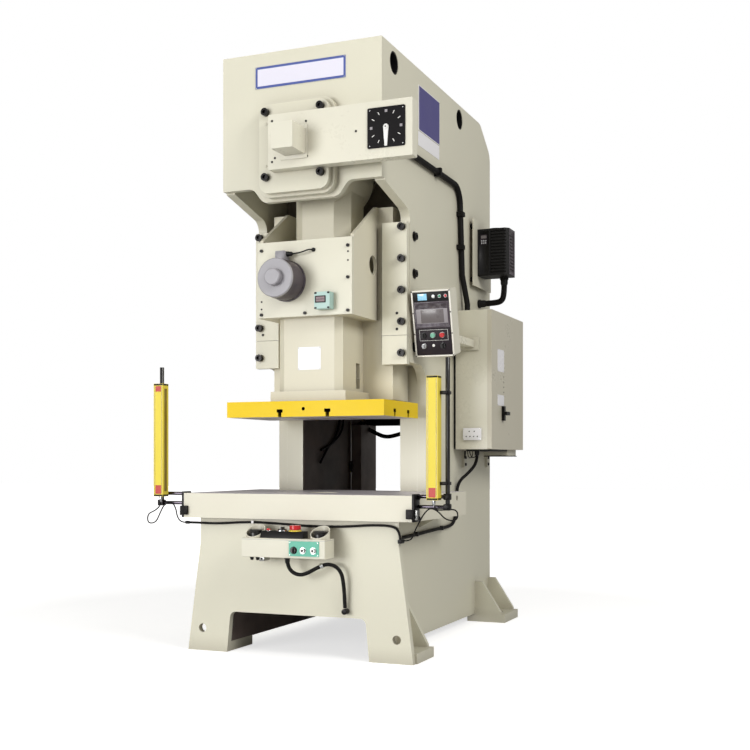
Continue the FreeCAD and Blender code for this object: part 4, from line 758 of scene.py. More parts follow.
class Palette:
    """The finishes of this press."""

    # Every enamel below paints shade into its inner corners and a highlight onto its outer edges.
    CREAM = Enamel("cream_enamel", (222, 219, 200), 0.36)
    CREAM_CAST = Enamel("cream_on_casting", (224, 219, 198), 0.42, bump_scale=90.0, bump=0.16, tone=0.05)
    LINED_CREAM = InnerShadeEnamel("cream_with_painted_inner_shade", (222, 219, 200), 0.36)
    # Painted shade: a darker copy of the cast cream for the bearing walls, which stand deep inside the frame.
    CAST_SHADE = Enamel("casting_enamel_in_painted_shade", (120, 112, 100), 0.5, bump_scale=90.0, bump=0.16, tone=0.08)
    BOX_CREAM = Enamel("cream_sheet_enamel", (225, 222, 205), 0.3, "box_cream", bump=0.02, tone=0.015)
    # Painted shade: a darker copy of the cabinet's cream for its door, which faces the right side.
    DOOR_CREAM = Enamel("cream_door_enamel_in_shade", (208, 203, 185), 0.32, "box_cream", bump=0.02, tone=0.015,
                        edge=0.3)
    RIM = Enamel("pale_sheet_enamel", (244, 241, 232), 0.3, "box_cream", corner_shade=0.2, bump=0.02, tone=0.015)
    DISPLAY_PALE = Finish("pale_display_frame", (158, 153, 158), 0.4, "panel_dark", tone=0.06,
                          tone_scale=90.0, bump=0.02)
    LILAC = Finish("lilac_film", (232, 230, 244), 0.3, "blank_blue", tone=0.02, bump=0.01)
    PALE_GREY = Enamel("pale_grey_enamel", (160, 158, 164), 0.36, "motor_grey", edge_colour=(232, 230, 236),
                       grime_colour=(90, 84, 88), edge=0.3, bump_scale=120.0, bump=0.04)
    BOLSTER = FacedEnamel("cream_with_ground_top", (228, 224, 206), 0.36, "ground_steel", level=0.807,
                          upward=1.0)
    # Its near-black corner colour at full share is painted shade in the T-slots and recesses.
    YELLOW = FacedEnamel("yellow_with_ground_face", (243, 207, 14), 0.4, "plate_paint", specular=0.2,
                         edge_colour=(252, 230, 90),
                         grime_colour=(30, 25, 20), corner_shade=1.0, level=1.194, upward=-1.0)
    WHITE = Finish("white_film", (246, 245, 248), 0.3, "blank_blue", tone=0.01, bump=0.01)
    BLUE = Finish("blue_film", (74, 92, 164), 0.32, "blank_blue", tone=0.05, tone_scale=9.0, bump=0.01)
    VIOLET = Finish("violet_film", (78, 74, 134), 0.32, "blank_blue", tone=0.06, tone_scale=7.0, bump=0.01)
    RED_FILM = Finish("red_film", (196, 52, 44), 0.34, "button_red", tone=0.04, bump=0.02)
    BLACK_OXIDE = Steel("black_oxide_steel", (24, 22, 23), 0.34, "black_steel", edge=0.35, shine=(96, 94, 92),
                        lines=0.05, metallic=0.6)
    MACHINED = Steel("machined_steel", (168, 168, 166), 0.34, "machined_steel", stretch=(60.0, 60.0, 900.0))
    ROD = Steel("dark_chrome", (96, 90, 100), 0.2, "black_steel", stretch=(30.0, 800.0, 800.0), lines=0.03)
    BRIGHT = Steel("bright_drawn_steel", (206, 208, 210), 0.22, "bright_steel", stretch=(30.0, 800.0, 800.0),
                   lines=0.05)
    GROUND = Steel("ground_steel", (176, 175, 173), 0.3, "ground_steel")
    CAST = Steel("machined_casting", (112, 112, 110), 0.52, "cast_grey", metallic=0.85, bump_scale=120.0,
                 lines=0.2)
    MOTOR_GREY = Enamel("grey_machine_enamel", (158, 160, 170), 0.36, "motor_grey",
                        edge_colour=(214, 215, 222), grime_colour=(70, 66, 70), bump_scale=120.0, bump=0.1)
    MOTOR_DARK = Enamel("mauve_grey_enamel", (78, 69, 77), 0.25, "motor_grey", edge_colour=(186, 182, 192),
                        grime_colour=(40, 36, 40), bump_scale=140.0, bump=0.08)
    TEAL = Finish("teal_moulding", (172, 204, 197), 0.36, "counter_teal", tone=0.05, bump_scale=500.0,
                  bump=0.08)
    TEAL_PALE = Finish("pale_teal_plate", (94, 190, 164), 0.34, "counter_teal", tone=0.04, bump=0.02)
    DARK = Finish("dark_panel", (47, 41, 46), 0.45, "panel_dark", specular=0.15, tone=0.06, bump_scale=420.0,
                  bump=0.06)
    BLACK = Finish("black_moulding", (25, 24, 25), 0.45, "drive_black", specular=0.25, tone=0.08,
                   bump_scale=600.0, bump=0.1)
    BLACK_GLOSS = Gloss("glossy_black_moulding", (22, 21, 22), 0.3, "button_black", tone=0.05)
    DIAL = Finish("dial_black", (20, 18, 20), 0.5, "dial_black", specular=0.12, tone=0.05, bump_scale=700.0,
                  bump=0.03)
    POINTER = Finish("pointer_white", (240, 240, 238), 0.34, "pointer_white", tone=0.02, bump=0.02)
    RUBBER = Finish("cable_rubber", (19, 17, 17), 0.6, "cable_black", specular=0.2, tone=0.1, tone_scale=14.0,
                    bump_scale=900.0, bump=0.12)
    BELT = Finish("belt_rubber", (38, 37, 38), 0.72, "belt_rubber", tone=0.12, bump_scale=300.0, bump=0.2)
    CURTAIN = Enamel("curtain_yellow", (243, 222, 84), 0.36, "curtain_yellow", specular=0.14, edge=0.25,
                     edge_colour=(250, 226, 90),
                     grime_colour=(140, 112, 40), corner_shade=0.35, dust=0.0, bump=0.02, tone=0.02)
    LENS = Gloss("lens_strip", (140, 118, 36), 0.3, "curtain_yellow", tone=0.08)
    GREY = Finish("grey_moulding", (176, 176, 180), 0.4, "control_grey", tone=0.04, bump_scale=500.0,
                  bump=0.06)
    RED = Gloss("red_moulding", (206, 38, 42), 0.28, "button_red", tone=0.03)
    GREEN = Gloss("green_moulding", (122, 190, 164), 0.28, "button_green", tone=0.03)
    SCREEN = Gloss("display_glass", (112, 106, 108), 0.3, "panel_dark", tone=0.06, tone_scale=60.0, coat=0.3)
    SCREEN_BLUE = Gloss("lit_display", (150, 206, 236), 0.12, "panel_dark", tone=0.1, tone_scale=120.0,
                        glow=0.25)
    LAMP_WHITE = Gloss("glowing_white", (240, 240, 236), 0.2, "control_grey", glow=0.2)
    LAMP_GREEN = Gloss("green_lamp", (50, 140, 100), 0.2, "button_green", glow=0.1)
    LAMP_RED = Gloss("red_lamp", (196, 40, 46), 0.2, "button_red", glow=0.1)
    WINDOW = Gloss("counter_window", (140, 120, 124), 0.3, "panel_dark", tone=0.04, coat=0.1, specular=0.1)
    YELLOW_PLASTIC = Gloss("yellow_moulding", (236, 206, 60), 0.32, "plate_paint")


# ---- studio ----------------------------------------------------------------------------
@dataclass(frozen=True)
class Lamp:
    """A square soft light, in metres and watts.

    Attributes:
        name: Name of the lamp.
        spot: Where it stands.
        target: What it looks at.
        size: Side of its square.
        power: Its power.
        tint: Its colour.
    """

    name: str
    spot: Spot
    target: Spot
    size: float
    power: float
    tint: tuple[float, float, float]

    def build(self) -> None:
        """Hangs the lamp."""
        data = bpy.data.lights.new(self.name, "AREA")
        data.shape = "SQUARE"
        data.size, data.energy, data.color = self.size, self.power, self.tint
        lamp = bpy.data.objects.new(self.name, data)
        lamp.location = self.spot
        lamp.rotation_euler = (Vector(self.target) - Vector(self.spot)).to_track_quat("-Z", "Y").to_euler()
        bpy.context.collection.objects.link(lamp)


@dataclass
class Studio:
    """Camera, pale floor and soft light round the press."""

    camera_spot: Spot = (2542.4, -5118.6, 979.7)
    camera_turn: float = 22.49
    lens: float = 55.21
    shift: float = 0.1124
    floor_size: float = 60.0
    sky: float = 0.3
    lamps: tuple[Lamp, ...] = (
        Lamp("key_light", (-4.6, -11.5, 2.1), (0.0, -0.2, 1.5), 5.4, 730.0, (1.0, 0.997, 0.99)),
        Lamp("fill_light", (6.0, -3.2, 5.2), (0.3, 0.0, 2.2), 2.8, 245.0, (1.0, 0.985, 0.955)),
        Lamp("low_light", (-3.2, -10.5, 0.5), (0.0, -1.0, 0.3), 3.6, 120.0, (1.0, 0.997, 0.99)),
        Lamp("top_light", (0.5, -2.5, 6.5), (0.0, -0.2, 1.5), 3.0, 30.0, (1.0, 1.0, 1.0)))
    floor_tone: float = 0.7
    glow_reach: tuple[float, float] = (2.4, 5.0)
    near_glow: float = 0.66
    far_glow: float = 1.1

    def camera(self) -> None:
        """Places the camera at the photograph's viewing angle."""
        data = bpy.data.cameras.new("camera")
        data.lens = self.lens
        data.shift_y = self.shift
        data.clip_start, data.clip_end = 0.1, 200.0
        camera = bpy.data.objects.new("camera", data)
        camera.location = at(*self.camera_spot)
        camera.rotation_euler = (math.radians(90.0), 0.0, math.radians(self.camera_turn))
        bpy.context.collection.objects.link(camera)
        bpy.context.scene.camera = camera

    def seen(self, tree: Tree) -> Socket:
        """1 for what the camera sees, also through glass, and 0 for all other light."""
        path = tree.add("LightPath")
        return tree.sum("MAXIMUM", path.outputs["Is Camera Ray"], path.outputs["Is Transmission Ray"])

    def world(self) -> None:
        """An even dim sky that the camera sees as white."""
        world = bpy.data.worlds.new("sky")
        world.use_nodes = True
        bpy.context.scene.world = world
        tree = Tree(world.node_tree)
        seen = self.seen(tree)
        background = world.node_tree.nodes["Background"]
        tree.feed(background, "Color", tree.mix(seen, (1.0, 0.985, 0.95, 1.0), (1.0, 1.0, 1.0, 1.0)))
        tree.feed(background, "Strength", tree.remap(seen, 0.0, 1.0, self.sky, 1.0))

    def floor(self) -> None:
        """A plain pale floor that keeps the press's shadow."""
        Bench.only()
        bpy.ops.mesh.primitive_plane_add(size=self.floor_size, location=(0.0, 0.0, 0.0))
        floor = bpy.context.object
        floor.name = "floor"
        paint = bpy.data.materials.new("pale_floor")
        paint.use_nodes = True
        tree = Tree(paint.node_tree)
        shader = paint.node_tree.nodes["Principled BSDF"]
        tree.feed(shader, "Base Color", (self.floor_tone,) * 3 + (1.0,))
        tree.feed(shader, "Roughness", 0.7)
        tree.feed(shader, "Specular IOR Level", 0.2)
        tree.feed(shader, "Emission Color", (1.0, 1.0, 1.0, 1.0))
        reach = tree.add("VectorMath", {"operation": "LENGTH"})
        tree.feed(reach, 0, tree.add("TexCoord").outputs["Object"])
        glow = tree.remap(reach.outputs["Value"], *self.glow_reach, self.near_glow, self.far_glow)
        tree.feed(shader, "Emission Strength", tree.sum("MULTIPLY", self.seen(tree), glow))
        floor.data.materials.append(paint)

    def build(self) -> None:
        """Sets up the whole studio."""
        self.camera()
        self.world()
        self.floor()
        for lamp in self.lamps:
            lamp.build()
        bpy.context.scene.view_settings.view_transform = "Standard"


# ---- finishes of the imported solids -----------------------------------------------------
@dataclass
class Skin:
    """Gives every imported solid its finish."""

    finishes: dict[str, Finish] = field(default_factory=lambda: {
        **dict.fromkeys(("crown_front_plate", "crown_top_plate", "bed_front_plate", "feet", "gibs",
                         "crank_housing", "crank_cover", "slide_cover", "drive_bracket"), Palette.CREAM),
        **dict.fromkeys(("side_plates", "bed_plates", "rear_plates"), Palette.LINED_CREAM),
        **dict.fromkeys(("slide_body", "con_rod"), Palette.CREAM_CAST),
        **dict.fromkeys(("indicator_box", "cabinet_body", "operator_panel", "control_box"),
                        Palette.BOX_CREAM),
        **dict.fromkeys(("frame_bolts", "door_handle"), Palette.BLACK_OXIDE),
        **dict.fromkeys(("crankshaft", "pinion_shaft", "adjusting_wheel", "front_run_button",
                         "front_jog_button"),
                        Palette.MACHINED),
        **dict.fromkeys(("main_gear", "flywheel", "motor_pulley"), Palette.CAST),
        **dict.fromkeys(("palm_button_left", "palm_button_right", "control_selector", "front_selector",
                         "panel_selector", "panel_mode_selector"), Palette.BLACK_GLOSS),
        **dict.fromkeys(("curtain_stands", "panel_key_switch"), Palette.BRIGHT),
        **dict.fromkeys(("emergency_stop", "panel_stop_button"), Palette.RED),
        **dict.fromkeys(("curtain_cables", "control_hose", "frame_cables", "drive_hose", "conduit"),
                        Palette.RUBBER),
        "bearing_walls": Palette.CAST_SHADE, "cabinet_door": Palette.DOOR_CREAM, "bolster": Palette.BOLSTER,
        "slide_plate": Palette.YELLOW, "knockout_bar": Palette.GROUND, "motor_body": Palette.MOTOR_GREY,
        "adjust_motor": Palette.MOTOR_DARK, "stroke_counter": Palette.TEAL, "dial_face": Palette.DIAL,
        "dial_pointer": Palette.POINTER, "surface_plates": Palette.WHITE, "panel_face": Palette.DARK,
        "drive_unit": Palette.BLACK, "drive_belt": Palette.BELT, "curtain_bodies": Palette.CURTAIN,
        "control_plate": Palette.TEAL_PALE, "panel_start_button": Palette.GREEN})

    def build(self) -> None:
        """Puts each finish in the slots of its solid."""
        for name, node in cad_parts.items():
            finish = self.finishes[name]
            for place in node.material_slots:
                place.material = finish.material()
            if not node.material_slots:
                node.data.materials.append(finish.material())
            log.info("%s: %s", name, finish.name)


def fit(piece: bpy.types.Object, finish: Finish, body: str = "frame") -> bpy.types.Object:
    """Dresses a new piece and lets it move with a body of the press.

    Args:
        piece: The piece.
        finish: Its finish.
        body: Name of the body that it rides on.

    Returns:
        The same piece.
    """
    piece.data.materials.clear()
    piece.data.materials.append(finish.material())
    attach(piece, body)
    log.info("%s on %s", piece.name, body)
    return piece


# ---- fasteners and small shared pieces -------------------------------------------------
class Head(Enum):
    """Heads of fasteners: facets, then distance and radius as shares of the head's radius."""

    SOCKET = (16, ((0.0, 1.0), (0.95, 1.0), (1.1, 0.88), (1.1, 0.5), (0.6, 0.5)))
    PAN = (14, ((0.0, 1.0), (0.3, 1.0), (0.6, 0.72), (0.6, 0.3), (0.35, 0.3)))
    HEX = (6, ((0.0, 1.0), (0.6, 1.0), (0.72, 0.86)))
    WASHER = (20, ((0.0, 1.0), (0.14, 1.0)))
    RIVET = (12, ((0.0, 1.0), (0.35, 0.9), (0.6, 0.5)))


def screws(name: str, spots: Sequence[Spot], axis: Spot, radius: float, head: Head, finish: Finish,
           body: str = "frame") -> bpy.types.Object:
    """A set of like fasteners, the first one modelled and the others copied from it.

    Args:
        name: Name of the set.
        spots: Where each head sits.
        axis: Which way the heads look.
        radius: Radius of a head in millimetres.
        head: Its shape.
        finish: Its finish.
        body: Body that the set rides on.

    Returns:
        The set as one piece.
    """
    sides, shape = head.value
    first = Bench.turned(name, spots[0], axis, [(d * radius, r * radius) for d, r in shape], sides)
    rest = [Bench.copy(first, name, tuple(b - a for a, b in zip(spots[0], spot))) for spot in spots[1:]]
    return fit(Bench.join(name, [first, *rest]), finish, body)


def sheet(name: str, low: Spot, high: Spot, finish: Finish, edge: float = 0.3,
          body: str = "frame") -> bpy.types.Object:
    """A thin plate or film between two corners."""
    return fit(Bench.block(name, low, high, edge, 1), finish, body)


def bead(name: str, start: Spot, axis: Spot, length: float, size: float, finish: Finish) -> bpy.types.Object:
    """A rippled weld along an inner corner.

    Args:
        name: Name of the weld.
        start: Where it starts.
        axis: Which way it runs.
        length: Its length in millimetres.
        size: Radius of the bead in millimetres.
        finish: Its finish.

    Returns:
        The weld.
    """
    count = max(2, round(length / (1.6 * size)))
    step = length / count
    profile = [(0.0, size * 0.5)]
    for i in range(count):
        profile += [((i + 0.45) * step, size), ((i + 1) * step, size * 0.8)]
    return fit(Bench.turned(name, start, axis, profile, 8), finish)


# ---- cables and hoses ------------------------------------------------------------------
@dataclass
class Cables:
    """The free cables and hoses, and those that clips hold."""

    curtain_diameter: float = 6.5
    left: tuple[Spot, ...] = (
        (-768, -26, 788), (-768, -26, 742), (-806, -26, 712), (-850, -26, 696), (-850, -26, 646),
        (-800, -26, 650),
        (-780, -19, 698), (-758, -11, 748), (-714, -7, 760), (-690, -7, 726), (-684, -7, 686),
        (-660, -8.3, 655), (-632, -8.3, 655))
    right: tuple[Spot, ...] = (
        (733, -26, 788), (733, -26, 742), (779, -25, 742), (848, -22, 748), (850, -20, 694), (790, -18, 694),
        (749, -11, 736), (708, -8, 752), (676, -8, 722), (652, -6, 680), (624, 2, 634), (606, 12, 590),
        (566, 12, 590))
    hose_diameter: float = 19.0
    hose: tuple[Spot, ...] = (
        (0, -95, 502), (0, -95, 465), (20, -94, 433), (54, -91, 417), (93, -87, 421), (155, -77, 456),
        (201, -66, 474), (241, -56, 464), (266, -46, 432), (273, -39, 390), (276, -31, 330), (276, -24, 259))

    def build(self) -> None:
        """Makes the free cables."""
        for name, spots, length in (("curtain_cable_left", self.left, 0.510),
                                    ("curtain_cable_right", self.right, 0.570)):
            cable = Bench.route(name, spots, self.curtain_diameter)
            cable.data.materials.append(Palette.RUBBER.material())
            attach(cable, "frame")
            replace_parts(cable, "curtain_cables")
        hose = Bench.route("box_hose", self.hose, self.hose_diameter)
        hose.data.materials.append(Palette.RUBBER.material())
        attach(hose, "frame")
        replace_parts(hose, "control_hose")
        fit(Bench.turned("hose_socket", (276.0, -24.0, 241.0), REAR, [
            (-14.2, 13.0), (-11.0, 14.2), (24.0, 14.2)], 32, 0.6), Palette.BLACK_OXIDE)


# ---- crown -----------------------------------------------------------------------------
@dataclass
class Crown:
    """Blank plates, linings of the lifting holes, dowels and welds of the crown."""

    side_x: float = 440.0
    plate_wall: float = 50.0
    lift_radius: float = 57.0
    lift_spots: tuple[tuple[float, float], ...] = ((209.0, 2953.0), (1244.0, 2953.0))
    blank_rim: float = 12.0

    def blanks(self) -> None:
        """Plain plates on the front and on the right side."""
        rim = self.blank_rim
        sheet("front_blank_rim", (-250, 42.0, 2856), (250, 42.6, 2966), Palette.BLUE)
        sheet("front_blank_field", (-250 + rim, 41.5, 2856 + rim), (250 - rim, 42.2, 2966 - rim),
              Palette.LILAC)
        sheet("side_blank_field", (442.4, 560, 2716), (443.2, 882, 2946), Palette.VIOLET)
        sheet("side_blank_strip", (440, 552, 2632), (441.2, 885, 2708), Palette.WHITE)
        screws("front_blank_rivets", [(x, 42.4, z) for x in (-244, 244) for z in (2861, 2961)], FRONT, 3.0,
               Head.RIVET, Palette.BRIGHT)
        screws("side_blank_rivets", [(442.5, y, z) for y in (562, 880) for z in (2718, 2944)], RIGHT, 3.0,
               Head.RIVET, Palette.BRIGHT)

    def linings(self) -> None:
        """Black bushes in the lifting holes, and black cups behind them as painted shade."""
        outer, inner = self.lift_radius - 0.4, self.lift_radius - 7.0
        inside = self.side_x - self.plate_wall
        shade = [(0.0, outer + 9.0), (60.0, outer + 5.0), (60.0, outer - 2.0), (2.0, outer - 2.0), (2.0, 4.0)]
        for side, word in SIDES:
            inward = (-side, 0, 0)
            for i, (y, z) in enumerate(self.lift_spots):
                fit(Bench.collar(f"lift_lining_{i}_{word[0]}", (side * (self.side_x - 3.0), y, z), inward,
                                 inner, outer, self.plate_wall - 4.0, sides=40), Palette.BLACK)
                # Painted shade: a closed black cup inside each hole darkens the view through it.
                cup = Bench.turned(f"lift_shade_{i}_{word[0]}", (side * (inside - 1.0), y, z), inward,
                                   shade, 40)
                fit(Bench.turn(cup, (side * (inside - 31.0), y, z), UP, 180.0), Palette.BLACK)

    def cover(self) -> None:
        """Dowels of the crank cover."""
        screws("cover_dowels", [(x, -30.0, z) for x in (-151, 151) for z in (2440, 2650)], FRONT, 6.0,
               Head.PAN, Palette.CREAM)

    def welds(self) -> None:
        """Welds where the front plate of the crown and the rear plates meet the side plates."""
        x = self.side_x - self.plate_wall
        for side, word in SIDES:
            bead(f"crown_weld_{word[0]}", (side * x, 80.0, 2360.0), UP, 640.0, 5.0, Palette.CREAM)
            bead(f"rear_weld_{word[0]}", (side * x, 1850.0, 1210.0), UP, 1590.0, 5.0, Palette.CREAM)

    def build(self) -> None:
        """Builds every detail of the crown."""
        self.blanks()
        self.linings()
        self.cover()
        self.welds()


# ---- indicator box, dial and encoder ---------------------------------------------------
@dataclass
class Indicator:
    """Marks of the dial, the encoder's base and the screws of the indicator box."""

    dial: tuple[float, float] = (520.0, 2545.0)
    face_y: float = -98.0
    box_y: float = -94.0
    mark_ring: float = 76.0
    corner: float = 84.0

    def marks(self) -> None:
        """Square marks at the quarters, short lines between them and a dot in each corner."""
        x, z = self.dial
        y = self.face_y
        squares, lines = [], []
        for hour in range(12):
            quarter = hour % 3 == 0
            w, h = (6.4, 6.4) if quarter else (1.5, 7.5)
            top = z + self.mark_ring
            mark = Bench.block("dial_mark", (x - w, y - 0.6, top - h), (x + w, y, top + h), 0.2, 1)
            Bench.turn(mark, (x, y, z), REAR, 30.0 * hour)
            (squares if quarter else lines).append(mark)
        fit(Bench.join("dial_squares", squares), Palette.DISPLAY_PALE)
        # Painted glow: the dial's white lines glow, though they are no lamp.
        fit(Bench.join("dial_lines", lines), Palette.LAMP_WHITE)
        corners = [(x + i * self.corner, y, z + j * self.corner) for i in (-1, 1) for j in (-1, 1)]
        screws("dial_corner_screws", corners, FRONT, 3.0, Head.PAN, Palette.BRIGHT)

    def pointer(self) -> None:
        """Hub of the hand."""
        x, z = self.dial
        fit(Bench.turned("pointer_hub", (x, self.face_y - 6.0, z), FRONT,
                         [(0.0, 11.0), (2.4, 11.0), (3.2, 9.8)]),
            Palette.POINTER, "pointer")
        fit(Bench.turned("pointer_dot", (x, self.face_y - 9.0, z), FRONT,
                         [(0.0, 3.5), (1.0, 3.5), (1.4, 2.8)], 20),
            Palette.DARK, "pointer")

    def encoder(self) -> None:
        """Base flange of the encoder."""
        y = self.box_y
        fit(Bench.block("encoder_base", (-36, y - 5.0, 2442), (108, y, 2604), 2.0), Palette.BOX_CREAM)

    def screws(self) -> None:
        """Screws of the box's front."""
        y = self.box_y
        spots = [(x, y, z) for x, z in ((-85, 2640), (-85, 2439), (100, 2620), (106, 2450), (-69, 2457),
                                        (364, 2542))]
        screws("indicator_screws", spots, FRONT, 5.5, Head.PAN, Palette.BLACK_OXIDE)

    def build(self) -> None:
        """Builds every detail of the indicator box."""
        self.marks()
        self.pointer()
        self.encoder()
        self.screws()


# ---- slide, adjusting motor and counter ------------------------------------------------
@dataclass
class Slide:
    """Screws and plates of the slide, its adjusting motor and its stroke counter."""

    front_y: float = 90.0
    motor: tuple[float, float] = (-94.0, 1880.0)
    bolt_ring: float = 99.6
    counter: tuple[float, float] = (121.0, 1768.0)

    def cover(self) -> None:
        """Screws of the slide's front cover and the plate on its neck."""
        y = self.front_y
        large = ((-241, 2043), (241, 2040), (241, 1882), (-241, 1716), (5, 1715), (241, 1718))
        small = ((241, 2010), (241, 1966), (-241, 1783), (-241, 1745))
        for name, places, radius, head in (("slide_cover_screws", large, 8.0, Head.SOCKET),
                                           ("slide_small_screws", small, 4.5, Head.PAN)):
            screws(name, [(x, y, z) for x, z in places], FRONT, radius, head, Palette.BLACK_OXIDE, "slide")
        sheet("neck_plate", (-62, 145.8, 1434), (66, 147.0, 1550), Palette.WHITE, body="slide")
        screws("neck_rivets", [(x, 145.8, z) for x in (-57, 61) for z in (1439, 1545)], FRONT, 2.6,
               Head.RIVET, Palette.BRIGHT, "slide")

    def adjusting_motor(self) -> None:
        """Motor that turns the adjusting screw: flanged frame, front bell, hub and terminal box."""
        x, z = self.motor
        for name, y, profile, sides, finish in (
                ("adjust_frame", 89.6, [
                    (0.0, 98.0), (0.0, 104.0), (11.0, 104.0), (12.0, 100.0), (84.0, 100.0), (90.0, 97.0),
                    (127.6, 97.0)], 72, Palette.MOTOR_DARK),
                ("adjust_bell", -38.0, [
                    (0.0, 97.2), (8.0, 97.2), (12.0, 93.0), (12.0, 40.0)], 72, Palette.PALE_GREY),
                ("adjust_hub", -50.0, [(-2.0, 43.0), (28.0, 42.0), (33.0, 37.0)], 56, Palette.PALE_GREY)):
            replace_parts(fit(Bench.turned(name, (x, y, z), FRONT, profile, sides), finish, "slide"),
                        "adjust_motor")
        angles = [math.radians(22.5 + 45.0 * i) for i in range(8)]
        spots = [(x + self.bolt_ring * math.sin(a), 78.6, z + self.bolt_ring * math.cos(a)) for a in angles]
        screws("adjust_bolts", spots, FRONT, 4.4, Head.SOCKET, Palette.BLACK, "slide")
        box = Bench.block("adjust_terminals", (x - 40, 30.0, z + 96.0), (x + 14, 88.0, z + 147.0), 4.0)
        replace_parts(fit(box, Palette.PALE_GREY, "slide"), "adjust_motor")
        fit(Bench.block("adjust_terminal_lid", (x - 36, 27.5, z + 101.0), (x + 10, 31.0, z + 143.0), 1.5),
            Palette.PALE_GREY, "slide")
        fit(Bench.turned("adjust_gland", (x + 13.0, 58.0, z + 132.0), RIGHT, [
            (0.0, 13.0), (10.0, 13.0), (10.0, 11.0), (26.0, 11.0), (34.0, 5.5)], 12), Palette.BLACK, "slide")
        lead = [(x + 44, 58, z + 132), (x + 88, 58, z + 134), (x + 128, 62, z + 148), (x + 146, 78, z + 150),
                (x + 147, 92, z + 150)]
        fit(Bench.route("adjust_lead", lead, 7.0), Palette.RUBBER, "slide")
        fit(Bench.turned("adjust_lead_gland", (x + 147.0, 90.0, z + 150.0), FRONT, [
            (0.0, 10.0), (7.0, 10.0), (12.0, 5.0)], 12), Palette.BLACK, "slide")

    def stroke_counter(self) -> None:
        """Window and corner pieces of the counter."""
        x, z = self.counter
        fours = [(i, j) for i in (-1, 1) for j in (-1, 1)]
        corners = [Bench.block("counter_corner", (x + i * 35 - 6.5, 40.6, z + j * 37 - 4.5),
                               (x + i * 35 + 6.5, 58.0, z + j * 37 + 4.5), 1.5) for i, j in fours]
        fit(Bench.join("counter_corners", corners), Palette.BLACK, "slide")
        bezel = Bench.block("counter_bezel", (x - 37, 39.6, z - 12), (x + 21, 42.4, z + 23), 1.6)
        fit(Bench.pocket(bezel, FRONT, 4.0, 1.6), Palette.BLACK, "slide")
        sheet("counter_glass", (x - 33.0, 40.2, z - 8.0), (x + 17.0, 42.0, z + 19.0), Palette.WINDOW, 0.4,
              "slide")
        wheels = [Bench.turned("counter_wheel", (x - 29.0 + 8.4 * i, 41.8, z + 5.5), RIGHT, [
            (0.0, 1.6), (0.6, 2.2), (6.4, 2.2), (7.0, 1.6)], 14) for i in range(5)]
        fit(Bench.join("counter_wheels", wheels), Palette.DARK, "slide")
        screws("counter_screws", [(x + i * 36, 40.4, z + j * 37.5) for i, j in fours], FRONT, 3.4, Head.PAN,
               Palette.DARK, "slide")

    def build(self) -> None:
        """Builds every detail of the slide."""
        self.cover()
        self.adjusting_motor()
        self.stroke_counter()


# ---- guides ----------------------------------------------------------------------------
@dataclass
class Guides:
    """Dowels, washers and wear strip of the slide's guides."""

    gib_y: float = 392.0

    def build(self) -> None:
        """Builds the dowels, washers and wear strip of the guides."""
        sheet("gib_wear_strip", (298.6, 392.2, 1475), (300.2, 430.0, 2195), Palette.BLACK, 0.0)
        dowels = [(x, self.gib_y, z) for x, z in ((383, 1732), (383, 1650), (-394, 1651))]
        screws("gib_dowels", dowels, FRONT, 7.0, Head.PAN, Palette.BLACK_OXIDE)
        for side, word in SIDES:
            spots = [(side * 440.0, 492.0, z) for z in (2140, 1946, 1563)]
            screws(f"side_washers_{word}", spots, (side, 0, 0), 26.0, Head.WASHER, Palette.BLACK_OXIDE)


